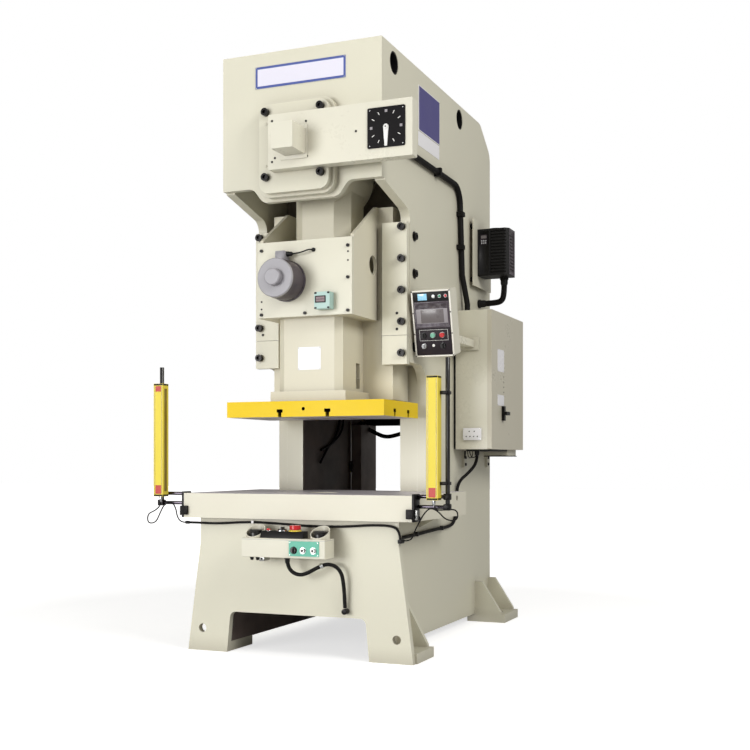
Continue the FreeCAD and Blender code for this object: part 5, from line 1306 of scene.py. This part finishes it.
# ---- drive unit on the right side ------------------------------------------------------
@dataclass
class Drive:
    """Drive unit's covers and sockets, its bracket's spacers and its corrugated hose."""

    unit_x: float = 469.0
    unit_y: float = 1500.0
    low_z: float = 2080.0
    high_z: float = 2360.0
    hose_y: float = 1612.0
    hose_diameter: float = 36.0
    hose_pitch: float = 6.0

    def bracket(self) -> None:
        """Black spacers of the bracket plate."""
        spacers = [Bench.turned("bracket_spacer", (440.2, y, z), RIGHT, [(0.0, 15.0), (22.6, 15.0)], 24, 0.6)
                   for y in (1458, 1737) for z in (2055, 2373)]
        fit(Bench.join("bracket_spacers", spacers), Palette.BLACK)

    def unit(self) -> None:
        """Plain cover, side door, keypad and fan ring of the drive unit."""
        x, y, low, high = self.unit_x, self.unit_y, self.low_z, self.high_z
        cover = Bench.block("drive_cover", (x + 3, y - 4.0, low + 4), (x + 77, y + 0.4, high - 4), 2.0)
        fit(Bench.pocket(cover, FRONT, 5.0, 1.0), Palette.BLACK)
        side = Bench.block("drive_side_cover", (656.5, y + 26.0, low + 5), (660.6, y + 141.0, high - 5), 1.6)
        fit(Bench.pocket(side, RIGHT, 7.0, 1.2), Palette.MOTOR_DARK)
        slats = [Bench.block("drive_slat", (659.0, y + 44.0, z), (661.4, y + 124.0, z + 7.0), 1.0, 1)
                 for z in (low + 34.0 + 20.0 * i for i in range(11))]
        fit(Bench.join("drive_slats", slats), Palette.DARK)
        screen = Bench.block("drive_keypad", (x + 18, y - 6.4, high - 96), (x + 62, y - 3.0, high - 34), 1.4)
        fit(Bench.pocket(screen, FRONT, 3.0, 1.0), Palette.DARK)
        sheet("drive_display", (x + 23, y - 6.0, high - 58), (x + 57, y - 5.0, high - 40), Palette.SCREEN,
              0.2)
        keys = [Bench.block("drive_key", (left, y - 7.0, foot), (left + 8, y - 4.6, foot + 9), 1.0, 1)
                for left in (x + 24, x + 36, x + 48) for foot in (high - 90, high - 77)]
        fit(Bench.join("drive_keys", keys), Palette.GREY)
        hub = (x + 95.0, y + 72.0, high)
        fit(Bench.turned("drive_fan_ring", hub, UP, [
            (0.0, 44.0), (0.0, 56.0), (6.0, 54.0), (6.0, 46.0)], 40, hollow=True), Palette.BLACK)
        bars = []
        for i in range(4):
            bar = Bench.block("drive_fan_bar", (x + 93.8, y + 22.0, high + 2),
                              (x + 96.2, y + 122.0, high + 4.5), 0.0)
            bars.append(Bench.turn(bar, hub, UP, 45.0 * i))
        fit(Bench.join("drive_fan_bars", bars), Palette.BLACK)

    def hose(self) -> None:
        """Corrugated hose from the side plate up into the drive unit, with its glands."""
        y = self.hose_y
        line = Bench.route("drive_hose_line", [(x, y, z) for x, z in (
            (484, 1928), (530, 1928), (590, 1936), (602, 1990), (602, 2040))], self.hose_diameter)
        hose = Bench.ribbed("drive_hose_ribs", line, self.hose_diameter, self.hose_pitch)
        bpy.data.objects.remove(line)
        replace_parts(fit(hose, Palette.RUBBER), "drive_hose")
        profile = [(0.0, 26.0), (14.0, 26.0), (14.0, 22.5), (40.0, 21.5), (46.0, 18.4)]
        for name, spot, axis, sides in (("drive_hose_gland", (440.2, y, 1928), RIGHT, 8),
                                        ("drive_hose_collar", (602, y, 2079.8), DOWN, 24)):
            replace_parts(fit(Bench.turned(name, spot, axis, profile, sides), Palette.BLACK), "drive_hose")

    def build(self) -> None:
        """Builds every detail of the drive."""
        self.bracket()
        self.unit()
        self.hose()


# ---- operator panel --------------------------------------------------------------------
@dataclass
class OperatorPanel:
    """Display, lamps, switch collars and screws of the tilted operator panel."""

    origin: Spot = (562.5, 480.0, 1510.0)
    tilt: float = 13.55
    half_width: float = 105.5
    height: float = 341.5

    def placed(self, piece: bpy.types.Object, finish: Finish) -> bpy.types.Object:
        """Tilts a piece drawn upright at the panel's origin and dresses it."""
        return fit(Bench.turn(piece, self.origin, RIGHT, self.tilt), finish)

    def plate(self, name: str, left: float, right: float, low: float, high: float, depth: tuple[float, float],
              finish: Finish, edge: float = 0.3, rim: float = 0.0, sink: float = 0.0) -> bpy.types.Object:
        """A plate on the panel's face, given in the panel's own width and height.

        Args:
            name: Name of the plate.
            left: Its left edge from the panel's middle.
            right: Its right edge from the panel's middle.
            low: Its lower edge from the panel's foot.
            high: Its upper edge.
            depth: Where it ends behind and in front of the body's face.
            finish: Its finish.
            edge: Width of its rounded edges.
            rim: Width of a rim round a sunk field, or 0 for none.
            sink: How deep the field lies.

        Returns:
            The plate.
        """
        x, y, z = self.origin
        piece = Bench.block(name, (x + left, y - depth[1], z + low), (x + right, y - depth[0], z + high),
                            edge)
        if rim:
            Bench.pocket(piece, FRONT, rim, sink)
        return self.placed(piece, finish)

    def build(self) -> None:
        """Builds the rim, the display, the lamps and the switches' collars."""
        x, y, z = self.origin
        w, h = self.half_width, self.height
        bars = [Bench.block("panel_rim", low, high, 1.2) for low, high in (
            ((x - w, y - 7.0, z), (x - w + 8.0, y, z + h)), ((x + w - 8.0, y - 7.0, z), (x + w, y, z + h)),
            ((x - w, y - 7.0, z), (x + w, y, z + 8.0)), ((x - w, y - 7.0, z + h - 8.0), (x + w, y, z + h)))]
        self.placed(Bench.join("panel_rim", bars), Palette.RIM)
        self.plate("panel_top_field", -95, 95, 286, 331, (4.0, 5.2), Palette.BLACK)
        self.plate("panel_status_screen", -70, -21, 291, 324, (5.0, 6.2), Palette.SCREEN_BLUE)
        for word, left, finish in (("white", 14, Palette.LAMP_WHITE), ("green", 48, Palette.LAMP_GREEN),
                                   ("red", 80, Palette.LAMP_RED)):
            self.placed(Bench.turned(f"panel_lamp_{word}", (x + left, y - 5.0, z + 309), FRONT, [
                (0.0, 7.0), (3.0, 7.0), (5.0, 5.4), (6.0, 3.0)], 20), finish)
            ring = Bench.collar(f"panel_lamp_{word}_ring", (x + left, y - 4.6, z + 309), FRONT, 7.1, 9.4, 2.2,
                                0.4, 24)
            self.placed(ring, Palette.BRIGHT)
        self.plate("panel_display_frame", -95, 95, 148, 282, (4.0, 8.0), Palette.MOTOR_DARK, 2.0, 8.0, 2.0)
        self.plate("panel_display_edge", -86, 86, 172, 246, (5.4, 6.4), Palette.DISPLAY_PALE)
        self.plate("panel_display", -60, 64, 175, 243, (6.0, 7.0), Palette.SCREEN)
        self.plate("panel_switch_field", -95, 95, 12, 144, (4.0, 5.0), Palette.DARK)
        line = [Bench.block("panel_outline", (x + left, y - 5.5, z + low), (x + right, y - 4.8, z + high),
                            0.0)
                for left, right, low, high in (
                    (-76, 78, 83, 84.2), (-76, 78, 137.8, 139), (-76, -74.8, 83, 139), (76.8, 78, 83, 139))]
        # Painted glow: the white outline glows, though it is no lamp.
        self.placed(Bench.join("panel_outline", line), Palette.LAMP_WHITE)
        for name, left, up, radius in (("selector", -55, 111, 13.5), ("start", -3, 111, 12.0),
                                       ("stop", 47, 111, 12.0),
                                       ("key", -55, 56, 11.0), ("mode", 47, 56, 13.5)):
            collar = Bench.collar(f"panel_collar_{name}", (x + left, y - 4.2, z + up), FRONT,
                                  radius + 0.6, radius + 3.2, 2.2, 0.4)
            self.placed(collar, Palette.BLACK_GLOSS if name in ("selector", "mode") else Palette.MACHINED)
        self.placed(Bench.turned("panel_lower_lamp", (x - 3, y - 4.8, z + 58), FRONT, [
            (0.0, 7.0), (3.0, 7.0), (5.0, 4.0)], 20), Palette.LAMP_WHITE)
        heads = [Bench.turned("panel_screws", (x + i * 101.5, y - 7.2, z + j), FRONT, [
            (0.0, 3.4), (1.2, 3.2), (2.0, 2.0)], 14) for i in (-1, 1) for j in (5, 118, 226, 336)]
        self.placed(Bench.join("panel_screws", heads), Palette.BLACK)


# ---- electric cabinet ------------------------------------------------------------------
@dataclass
class Cabinet:
    """Plates, hinges, seal, glands and bolts of the cabinet."""

    low_z: float = 1037.0
    high_z: float = 1828.0
    door_x: float = 668.0

    def door(self) -> None:
        """Plain plates on the door with their rivets, a row of small screws, hinges and the cabinet's seal."""
        x = self.door_x
        sheet("door_plate_upper", (x - 0.2, 1246, 1486), (x + 1.2, 1378, 1614), Palette.WHITE, body="door")
        sheet("door_plate_lower", (x - 0.2, 1246, 1290), (x + 1.2, 1378, 1352), Palette.WHITE, body="door")
        rivets = [(x + 1.0, y, z) for y in (1251, 1373) for z in (1491, 1609, 1295, 1347)]
        screws("door_plate_rivets", rivets, RIGHT, 2.6, Head.RIVET, Palette.BRIGHT, "door")
        dots = [(x, 1373.0, z) for z in (1370, 1400, 1430, 1460)]
        screws("door_dots", dots, RIGHT, 3.5, Head.PAN, Palette.BLACK_OXIDE, "door")
        for i, z in enumerate((1170.0, 1430.0, 1690.0)):
            fit(Bench.turned(f"door_hinge_{i}", (655.0, 1794.0, z - 32.0), UP, [
                (0.0, 5.0), (2.0, 6.5), (30.0, 6.5), (31.0, 5.6), (33.0, 5.6), (34.0, 6.5), (62.0, 6.5),
                (64.0, 5.0)], 20), Palette.BRIGHT)
        seal = [Bench.block("cabinet_seal", (640.5, y0, z0), (642.2, y1, z1), 0.0) for y0, z0, y1, z1 in (
            (1134, 1043, 1142, 1822), (1786, 1043, 1794, 1822), (1134, 1043, 1794, 1051),
            (1134, 1814, 1794, 1822))]
        fit(Bench.join("cabinet_seal", seal), Palette.RUBBER)

    def body(self) -> None:
        """Painted shadow in the seam behind the cabinet, the cabinet's bolts and the sockets of the outlet
        plate.
        """
        # Painted shadow: a black sheet fills the seam between the cabinet and the side plate.
        sheet("cabinet_back_shade", (440.4, 1140, 1039), (443.0, 1790, 1826), Palette.BLACK)
        screws("cabinet_rail_bolts", [(455.0, y, z) for y in (1310, 1765) for z in (950, 990)], RIGHT, 9.0,
               Head.HEX, Palette.BLACK_OXIDE)
        fit(Bench.block("outlet_frame", (503, 1115.6, 1090), (607, 1119.0, 1156), 0.8), Palette.WHITE)
        spots = [(x, 1116.2, z) for x, z in (
            (540, 1138), (570, 1138), (522, 1109), (544, 1109), (566, 1109), (588, 1109))]
        rings = [Bench.collar("outlet_ring", spot, FRONT, 2.2, 3.8, 2.0, 0.4, 20) for spot in spots]
        fit(Bench.join("outlet_rings", rings), Palette.BLACK_OXIDE)
        cores = [Bench.turned("outlet_core", (x, y + 0.2, z), FRONT, [(0.0, 2.1), (1.0, 1.9)], 14)
                 for x, y, z in spots]
        fit(Bench.join("outlet_cores", cores), Palette.BLACK)
        screws("outlet_screws", [(x, 1116.6, z) for x in (507, 603) for z in (1094, 1152)], FRONT, 2.8,
               Head.PAN, Palette.BRIGHT)

    def glands(self) -> None:
        """Gland duct under the cabinet, a black bar along the cabinet's underside, and its cables."""
        fit(Bench.block("gland_duct", (494.4, 1559.4, 1000.4), (636.4, 1750.6, 1036.8), 1.6),
            Palette.BOX_CREAM)
        # A black bar along the cabinet's underside.
        fit(Bench.block("underside_black_bar", (494.4, 1200.0, 1026.0), (636.4, 1559.0, 1036.8)), Palette.BLACK)
        fit(Bench.block("gland_plate", (490.0, 1555.0, 996.0), (640.0, 1758.0, 1000.6)), Palette.BLACK)
        fit(Bench.turned("cabinet_main_gland", (540, 1262, 1036.8), DOWN, [
            (0.0, 17.0), (10.0, 17.0), (10.0, 14.5), (30.0, 13.5), (36.0, 9.6)], 8), Palette.BLACK)
        loops = (((486, 1214, 1028), (486, 1214, 1000), (478, 1226, 984),
                  (470, 1242, 990), (468, 1252, 1012), (468, 1254, 1028)),
                 ((506, 1290, 1028), (506, 1290, 1004), (492, 1296, 986),
                  (476, 1302, 992), (470, 1306, 1010), (468, 1308, 1028)),
                 ((516, 1330, 1028), (516, 1330, 1006), (502, 1334, 990),
                  (486, 1338, 990), (474, 1340, 1008), (470, 1340, 1028)))
        for i, spots in enumerate(loops):
            fit(Bench.route(f"cabinet_lead_{i}", spots, 5.0), Palette.RUBBER)

    def build(self) -> None:
        """Builds every detail of the cabinet."""
        self.door()
        self.body()
        self.glands()


# ---- light curtains --------------------------------------------------------------------
@dataclass
class Curtains:
    """Caps, lens strips, stands and clamps of the light curtains."""

    post_x: float = 788.0
    post_y: float = 14.0
    body_x: dict[str, float] = field(default_factory=lambda: {"left": -768.0, "right": 733.0})
    body_y: float = -26.0
    low_z: float = 788.0
    high_z: float = 1371.0

    def stand(self, side: int, word: str) -> None:
        """End plate, lug, rods and post on one side.

        Args:
            side: 1 on the right and -1 on the left.
            word: Name of the side.
        """
        def box(name: str, a: float, b: float, low: tuple[float, float], high: tuple[float, float],
                edge: float = 2.0, segments: int = 2) -> bpy.types.Object:
            """A block between two distances from the middle, on this side."""
            left, right = sorted((side * a, side * b))
            return Bench.block(f"stand_{name}_{word}", (left, *low), (right, *high), edge, segments)

        plate = box("plate", 625.0, 639.0, (-34.0, 682.0), (38.0, 815.0))
        lug = box("lug", 599.0, 639.0, (-48.0, 696.0), (-34.0, 742.0))
        ribs = [box("rib", 603 + 6 * i, 606 + 6 * i, (-51.0, 698.0), (-47.0, 740.0), 0.6, 1)
                for i in range(5)]
        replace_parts(fit(plate, Palette.BLACK_OXIDE), "curtain_stands")
        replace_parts(fit(Bench.join(f"stand_lug_{word}", [lug, *ribs]), Palette.BLACK_OXIDE), "curtain_stands")
        fit(box("ear", 639.0, 653.0, (-32.0, 692.0), (-16.0, 740.0)), Palette.MACHINED)
        screws(f"stand_ear_pin_{word}", [(side * 646.0, -32.0, 712.0)], FRONT, 3.4, Head.SOCKET,
               Palette.BLACK_OXIDE)
        screws(f"stand_bolts_{word}", [(side * 639.0, 14.0, z) for z in (700, 796)], (side, 0, 0), 9.0,
               Head.SOCKET, Palette.BLACK_OXIDE)
        x, y = side * self.post_x, self.post_y
        for z in (803, 754):
            rod = Bench.rod(f"stand_rod_{word}_{z}", (side * 638.0, y, z), (side, 0, 0), 150.0, 9.0, 28)
            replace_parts(fit(rod, Palette.ROD), "curtain_stands")
            block = Bench.block(f"rod_clamp_{word}_{z}", (x - 17, y - 17, z - 15), (x + 14, y + 17, z + 15),
                                3.0)
            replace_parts(fit(block, Palette.BLACK_OXIDE), "curtain_stands")
            screws(f"rod_clamp_screws_{word}_{z}", [(x - 2, y - 17, z + d) for d in (-9, 9)], FRONT, 3.6,
                   Head.SOCKET, Palette.BLACK_OXIDE)
        post = Bench.rod(f"stand_post_{word}", (x, y, 742.0), UP, 718.0, 11.0, 28, 1.5)
        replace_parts(fit(post, Palette.BLACK_GLOSS), "curtain_stands")

    def clamps(self, side: int, word: str) -> None:
        """Clamps that hold a body to its post.

        Args:
            side: 1 on the right and -1 on the left.
            word: Name of the side.
        """
        body_x = self.body_x[word]
        inner, low_y = (body_x + 28.0, -23.0) if side > 0 else (body_x, 0.2)
        left, right = sorted((inner, side * (self.post_x + 14.0)))
        for z in (1293, 866):
            clamp = Bench.block(f"curtain_clamp_{word}_{z}", (left, low_y, z - 8.0), (right, 28.0, z + 8.0),
                                2.0)
            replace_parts(fit(clamp, Palette.BLACK_OXIDE), "curtain_stands")
            screws(f"curtain_clamp_screw_{word}_{z}", [(side * self.post_x, 28.0, z)], REAR, 6.0, Head.SOCKET,
                   Palette.BRIGHT)

    def head(self, side: int, word: str) -> None:
        """Extruded body's caps, lens strip that looks inward, plain label and plug.

        Args:
            side: 1 on the right and -1 on the left.
            word: Name of the side.
        """
        x, y, foot, top = self.body_x[word], self.body_y, self.low_z, self.high_z
        for name, low, high in (("foot", foot - 0.4, foot + 11.0), ("cap", top - 11.0, top + 0.4)):
            fit(Bench.block(f"curtain_{name}_{word}", (x - 28.4, y - 26.4, low), (x + 28.4, y + 26.4, high),
                            2.5),
                Palette.BLACK)
        face = x - side * 28.0
        left, right = sorted((face + side * 4.2, face + side * 2.0))
        sheet(f"curtain_lens_{word}", (left, y - 12.6, foot + 27), (right, y + 12.6, top - 27), Palette.LENS,
              0.5)
        grooves = [Bench.block("curtain_groove", (x + dx - 1.3, y - 26.5, foot + 12),
                               (x + dx + 1.3, y - 25.2, top - 12), 0.0)
                   for dx in (-21.0, 21.0)]
        fit(Bench.join(f"curtain_grooves_{word}", grooves), Palette.LENS)
        sheet(f"curtain_label_{word}", (x - 17, y - 26.9, foot + 13), (x + 17, y - 25.9, foot + 58),
              Palette.RED_FILM, 0.2)
        fit(Bench.turned(f"curtain_plug_{word}", (x, y, foot), DOWN, [
            (0.0, 9.0), (10.0, 9.0), (11.0, 7.6), (20.0, 7.6), (24.0, 5.0), (30.0, 3.9)], 20), Palette.BRIGHT)

    def build(self) -> None:
        """Builds both curtains' details."""
        for step in (self.stand, self.clamps, self.head):
            for side, word in reversed(SIDES):
                step(side, word)
        sheet("curtain_label_left_upper", (-784, -53.0, 1330), (-752, -51.8, 1358), Palette.RED_FILM, 0.2)


# ---- two-hand control box --------------------------------------------------------------
@dataclass
class ControlBox:
    """Switch strip, collars, lamp, glands and screws of the two-hand box."""

    front_y: float = -147.0
    middle_y: float = -95.0
    top_z: float = 595.0
    low_z: float = 502.0
    strip_height: float = 34.0
    knob_x: float = -28.0
    stop_x: float = 42.0
    palm_x: float = 176.0
    switch_z: float = 541.0

    def strip(self) -> None:
        """Black strip on top of the box with its lamp and collars."""
        y, z = self.middle_y, self.top_z + self.strip_height
        knob, stop = self.knob_x, self.stop_x
        cover = Bench.wedge("strip_cover", (-135.8, y - 31.8, self.top_z + 0.3), (95.8, y + 31.6, z + 0.4),
                            14.0, 1.6)
        for x in (stop, knob):
            Bench.cut(cover, Bench.rod("cutter", (x, y, self.top_z + 4.0), UP, 60.0, 14.0, 32, 0.0))
        fit(cover, Palette.BLACK)
        fit(Bench.turned("strip_lamp", (-104.0, y, z), UP,
                         [(0.0, 10.0), (7.0, 10.0), (10.0, 8.0), (11.5, 4.0)], 24),
            Palette.LAMP_RED)
        fit(Bench.collar("strip_lamp_ring", (-104.0, y, z), UP, 10.2, 14.0, 3.0, 0.8, 28), Palette.BRIGHT)
        fit(Bench.collar("strip_knob_collar", (knob, y, z + 0.2), UP, 22.6, 27.0, 5.0, 1.0, 36),
            Palette.BRIGHT)
        fit(Bench.turned("stop_base", (stop, y, z + 0.2), UP, [
            (0.0, 28.4), (0.0, 32.4), (4.0, 32.0), (6.0, 30.6), (6.0, 28.4)], 40, hollow=True),
            Palette.YELLOW_PLASTIC)
        ribs = []
        for i in range(12):
            rib = Bench.block("stop_rib", (stop - 2.0, y - 27.4, z + 11.0), (stop + 2.0, y - 25.8, z + 27.0),
                              0.6, 1)
            ribs.append(Bench.turn(rib, (stop, y, z), UP, 30.0 * i))
        fit(Bench.join("stop_ribs", ribs), Palette.RED, "stop")

    def front(self) -> None:
        """Collars round the teal plate's controls, its screws and the box's seam."""
        y = self.front_y - 3.0
        for name, x, radius in (("selector", 61.0, 13.5), ("run", 111.0, 12.0), ("jog", 166.0, 12.0)):
            collar = Bench.collar(f"front_collar_{name}", (x, y - 0.1, self.switch_z), FRONT,
                                  radius + 0.8, radius + 5.0, 3.0, 0.8)
            fit(collar, Palette.BLACK if name == "selector" else Palette.BRIGHT)
        for name, x in (("run", 111.0), ("jog", 166.0)):
            fit(Bench.turned(f"front_dot_{name}", (x, -162.0, self.switch_z), FRONT, [
                (0.0, 5.6), (0.8, 5.6), (1.4, 4.6)], 20), Palette.DARK, f"{name}_button")
        screws("teal_screws", [(x, y, z) for x in (41, 189) for z in (519, 579)], FRONT, 3.0, Head.PAN,
               Palette.BRIGHT)
        sheet("box_lid_line", (-224.3, self.front_y - 0.4, 588.2), (224.3, -37.8, 589.6), Palette.GREY, 0.0)
        for side, word in SIDES:
            x, y = side * self.palm_x, self.middle_y
            fit(Bench.turned(f"palm_collar_{word}", (x, y, self.top_z + 0.2), UP, [
                (0.0, 34.4), (0.0, 40.0), (4.0, 38.6), (6.0, 36.4), (6.0, 34.4)], 40, hollow=True),
                Palette.BLACK)
            fit(Bench.turned(f"palm_cap_{word}", (x, y, self.top_z + 24.0), UP, [
                (0.0, 29.0), (6.0, 33.0), (11.0, 33.4), (15.0, 31.0), (16.6, 24.0), (16.9, 12.0)], 44),
                Palette.BLACK_GLOSS, f"{word}_palm")

    def underside(self) -> None:
        """Glands, the bracket and the clip under the box."""
        y, z = self.middle_y, self.low_z
        glands = [Bench.turned("box_gland", (x, y, z), DOWN, [
            (0.0, 12.0), (6.0, 12.0), (6.0, 9.5), (16.0, 9.0), (20.0, 5.0)], 8) for x in (-196.0, -164.0)]
        fit(Bench.join("box_glands", glands), Palette.BLACK)
        fit(Bench.turned("box_hose_gland", (0.0, y, z), DOWN, [
            (0.0, 15.5), (9.0, 15.5), (9.0, 13.0), (22.0, 12.4), (30.0, 10.0)], 8), Palette.BLACK)
        fit(Bench.block("box_strap", (-146, y - 18, z - 22), (-118, y + 40, z + 0.4), 2.0), Palette.MACHINED)
        fit(Bench.collar("hose_holder", (168.0, -75.4, 461.0), (39.0, 10.0, 15.0), 9.8, 13.0, 15.0, sides=24),
            Palette.BRIGHT)
        screws("strap_screw", [(-132, y - 18, z - 11)], FRONT, 5.0, Head.HEX, Palette.BLACK_OXIDE)

    def build(self) -> None:
        """Builds every detail of the two-hand box."""
        self.strip()
        self.front()
        self.underside()


# ---- bed, feet and throat --------------------------------------------------------------
@dataclass
class Bed:
    """Cables on the bed, their clips and the hose behind the throat."""

    side_x: float = 449.3

    def cables(self) -> None:
        """Cable along the bed and cable from the cabinet."""
        y, z = -8.3, 655.0
        front = [(x, y, z + rise) for x, rise in (
            (-606, 0), (-540, 0), (-450, -3), (-250, 11), (-60, 3), (80, -5), (260, -4), (400, 8), (523, 7),
            (556, -26), (556, -59))]
        side = [(540, 1262, 1007), (540, 1262, 962), (508, 1216, 905), (self.side_x + 6, 1170, 850)]
        side += [(self.side_x, back, up) for back, up in (
            (1156, 760), (1156, 674), (1108, 614), (1010, 601), (764, 597), (533, 589), (343, 584),
            (140, 581), (35, 581))]
        for piece, finish in (
                (Bench.route("bed_cable", front, 12.0), Palette.RUBBER),
                (Bench.turned("bed_sleeve", (-632, y, z), RIGHT, [
                    (0.0, 5.0), (3.0, 8.0), (22.0, 8.0), (26.0, 6.4)], 20), Palette.BLACK),
                (Bench.block("bed_junction", (546, -16.3, 578), (566, 26.0, 596), 2.0), Palette.BLACK),
                (Bench.route("cabinet_cable", side, 18.0), Palette.RUBBER)):
            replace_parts(fit(piece, finish), "frame_cables")
        fit(Bench.block("bed_clip", (-245.0, -15.4, 657.0), (-231.0, 0.0, 672.0), 2.0), Palette.WHITE)
        saddles = [Bench.block("cable_saddle", (440.0, back - deep, up - tall),
                               (460.2, back + deep, up + tall), 2.5)
                   for back, up, deep, tall in ((1156, 720, 12, 8), (900, 600, 8, 12), (500, 590, 8, 12),
                                                (180, 582, 8, 12))]
        fit(Bench.join("cable_saddles", saddles), Palette.BLACK)

    def throat(self) -> None:
        """Hose and cables that hang inside the frame behind the throat, and a black strip of painted shadow on
        the rear plate.
        """
        hose = [(x, 1700, z) for x, z in ((-388, 1215), (-340, 1180), (-281, 1150), (-204, 1118),
                                          (-108, 1140), (0, 1172), (140, 1190), (300, 1200), (388, 1215))]
        fit(Bench.route("throat_hose", hose, 26.0), Palette.RUBBER)
        leads = (((-380, 1389, 1298), (-380, 1374, 1223), (-380, 1314, 1113), (-380, 1169, 1036),
                  (-380, 1090, 959)),
                 ((-380, 1435, 1300), (-380, 1435, 1225), (-380, 1389, 1136), (-380, 1226, 1060),
                  (-380, 1098, 1035)))
        for i, spots in enumerate(leads):
            fit(Bench.route(f"throat_lead_{i}", spots, 14.0), Palette.RUBBER)
        fit(Bench.rod("oil_line", (-376.0, 1536.0, 760.0), UP, 550.0, 4.0, 16, 0.0), Palette.BRIGHT)
        fit(Bench.turned("oil_line_union", (-376.0, 1536.0, 900.0), UP, [
            (0.0, 8.0), (20.0, 8.0), (20.0, 13.0), (50.0, 13.0), (50.0, 8.0), (70.0, 8.0)], 12),
            Palette.BLACK)
        # Painted shadow: a black strip along the foot of the rear plate's inner face.
        sheet("rear_shade", (-389.6, 1813.0, 1198.4), (389.6, 1814.8, 1245.0), Palette.BLACK, 0.0)

    def build(self) -> None:
        """Builds every detail of the bed."""
        self.cables()
        self.throat()


# ---- back, top and underside -----------------------------------------------------------
@dataclass
class Back:
    """Removable covers, louvres, bolts and welds of the press's back, top and left side."""

    face_y: float = 1850.0
    side_x: float = 440.0
    cover_low: tuple[float, float] = (-310.0, 1800.0)
    cover_high: tuple[float, float] = (310.0, 2560.0)
    louvre_pitch: tuple[float, float] = (280.0, 46.0)
    louvre_rows: int = 12

    def columns(self, name: str, first: bpy.types.Object) -> bpy.types.Object:
        """Copies a piece over both columns of louvres and joins them."""
        wide, high = self.louvre_pitch
        places = [(wide * column, 0.0, high * row) for column in range(2) for row in range(self.louvre_rows)]
        return Bench.join(name, [first, *(Bench.copy(first, first.name, place) for place in places[1:])])

    def flywheel_cover(self) -> None:
        """Bolted sheet cover behind the flywheel with two rows of louvres."""
        (x0, z0), (x1, z1), y = self.cover_low, self.cover_high, self.face_y
        fit(Bench.block("flywheel_cover", (x0, y - 1.0, z0), (x1, y + 4.0, z1), 1.6), Palette.BOX_CREAM)
        louvre = Bench.wedge("louvre", (-250.0, y + 3.0, z0 + 110.0), (-30.0, y + 9.0, z0 + 134.0), 5.0, 0.6)
        fit(self.columns("flywheel_louvres", louvre), Palette.BOX_CREAM)
        # Painted shade: black strips fill the louvres' gaps, where the inside would show dark.
        gap = Bench.block("louvre_gap", (-246.0, y + 3.9, z0 + 106.0), (-34.0, y + 4.6, z0 + 110.0), 0.0)
        fit(self.columns("louvre_gaps", gap), Palette.BLACK)
        rim = [(x, y + 4.0, z) for x in (x0 + 16, x1 - 16) for z in (z0 + 16, z0 + 258, z0 + 502, z1 - 16)]
        rim += [(x, y + 4.0, z) for x in (-100, 100) for z in (z0 + 16, z1 - 16)]
        screws("flywheel_cover_bolts", rim, REAR, 7.0, Head.HEX, Palette.BLACK_OXIDE)

    def lower_cover(self) -> None:
        """Bolted plate over the foot of the frame."""
        y = self.face_y
        fit(Bench.block("foot_cover", (-230.0, y - 1.0, 230.0), (230.0, y + 4.0, 580.0), 1.6),
            Palette.BOX_CREAM)
        spots = [(x, y + 4.0, z) for x in (-214, 0, 214) for z in (246, 564)]
        screws("foot_cover_bolts", spots, REAR, 7.0, Head.HEX, Palette.BLACK_OXIDE)
        grip = [(x, y + out, 500) for x, out in ((-60, 2), (-60, 8), (-40, 8), (40, 8), (60, 8), (60, 2))]
        fit(Bench.route("foot_cover_grip", grip, 4.0), Palette.BRIGHT)

    def top(self) -> None:
        """Hatch over the motor."""
        fit(Bench.block("top_hatch", (-240.0, 1100.0, 3010.0), (240.0, 1500.0, 3014.0), 1.2), Palette.CREAM)
        spots = [(x, y, 3014.0) for x in (-224, 0, 224) for y in (1116, 1484)]
        screws("top_hatch_screws", spots, UP, 6.0, Head.PAN, Palette.BLACK_OXIDE)

    def left_side(self) -> None:
        """Bearing cover and a row of grease nipples on the left side plate."""
        x = -self.side_x
        fit(Bench.block("bearing_cover", (x - 4.0, 1430.0, 1970.0), (x + 1.0, 1790.0, 2330.0), 1.6),
            Palette.BOX_CREAM)
        spots = [(x - 4.0, y, z) for y in (1446, 1610, 1774) for z in (1986, 2314)]
        spots += [(x - 4.0, y, 2150) for y in (1446, 1774)]
        screws("bearing_cover_bolts", spots, LEFT, 7.0, Head.HEX, Palette.BLACK_OXIDE)
        sheet("nipple_rail", (x - 3.0, 596.0, 1560.0), (x + 0.5, 616.0, 1700.0), Palette.MACHINED, 0.6)
        nipples = [Bench.turned("nipple", (x - 2.6, 606.0, 1580.0 + 34.0 * i), LEFT, [
            (0.0, 4.5), (2.5, 4.5), (2.5, 2.4), (4.6, 3.0), (6.4, 1.6)], 12) for i in range(4)]
        fit(Bench.join("grease_nipples", nipples), Palette.BRIGHT)

    def welds(self) -> None:
        """Welds of the bed's shelf brackets."""
        for side, word in SIDES:
            bead(f"shelf_weld_{word}", (side * self.side_x, 588.5, 622.0), UP, 58.0, 4.0, Palette.CREAM)

    def build(self) -> None:
        """Builds every detail of the back and the top."""
        self.flywheel_cover()
        self.lower_cover()
        self.top()
        self.left_side()
        self.welds()


def main() -> None:
    """Builds the studio and every sub-assembly in turn."""
    logging.basicConfig(level=logging.INFO, format="%(message)s")
    for part in (Studio(), Skin(), Crown(), Indicator(), Slide(), Guides(), Drive(), OperatorPanel(),
                 Cabinet(), Curtains(), ControlBox(), Bed(), Back(), Cables()):
        log.info("building %s", type(part).__name__)
        part.build()


if __name__ == "__main__":
    main()
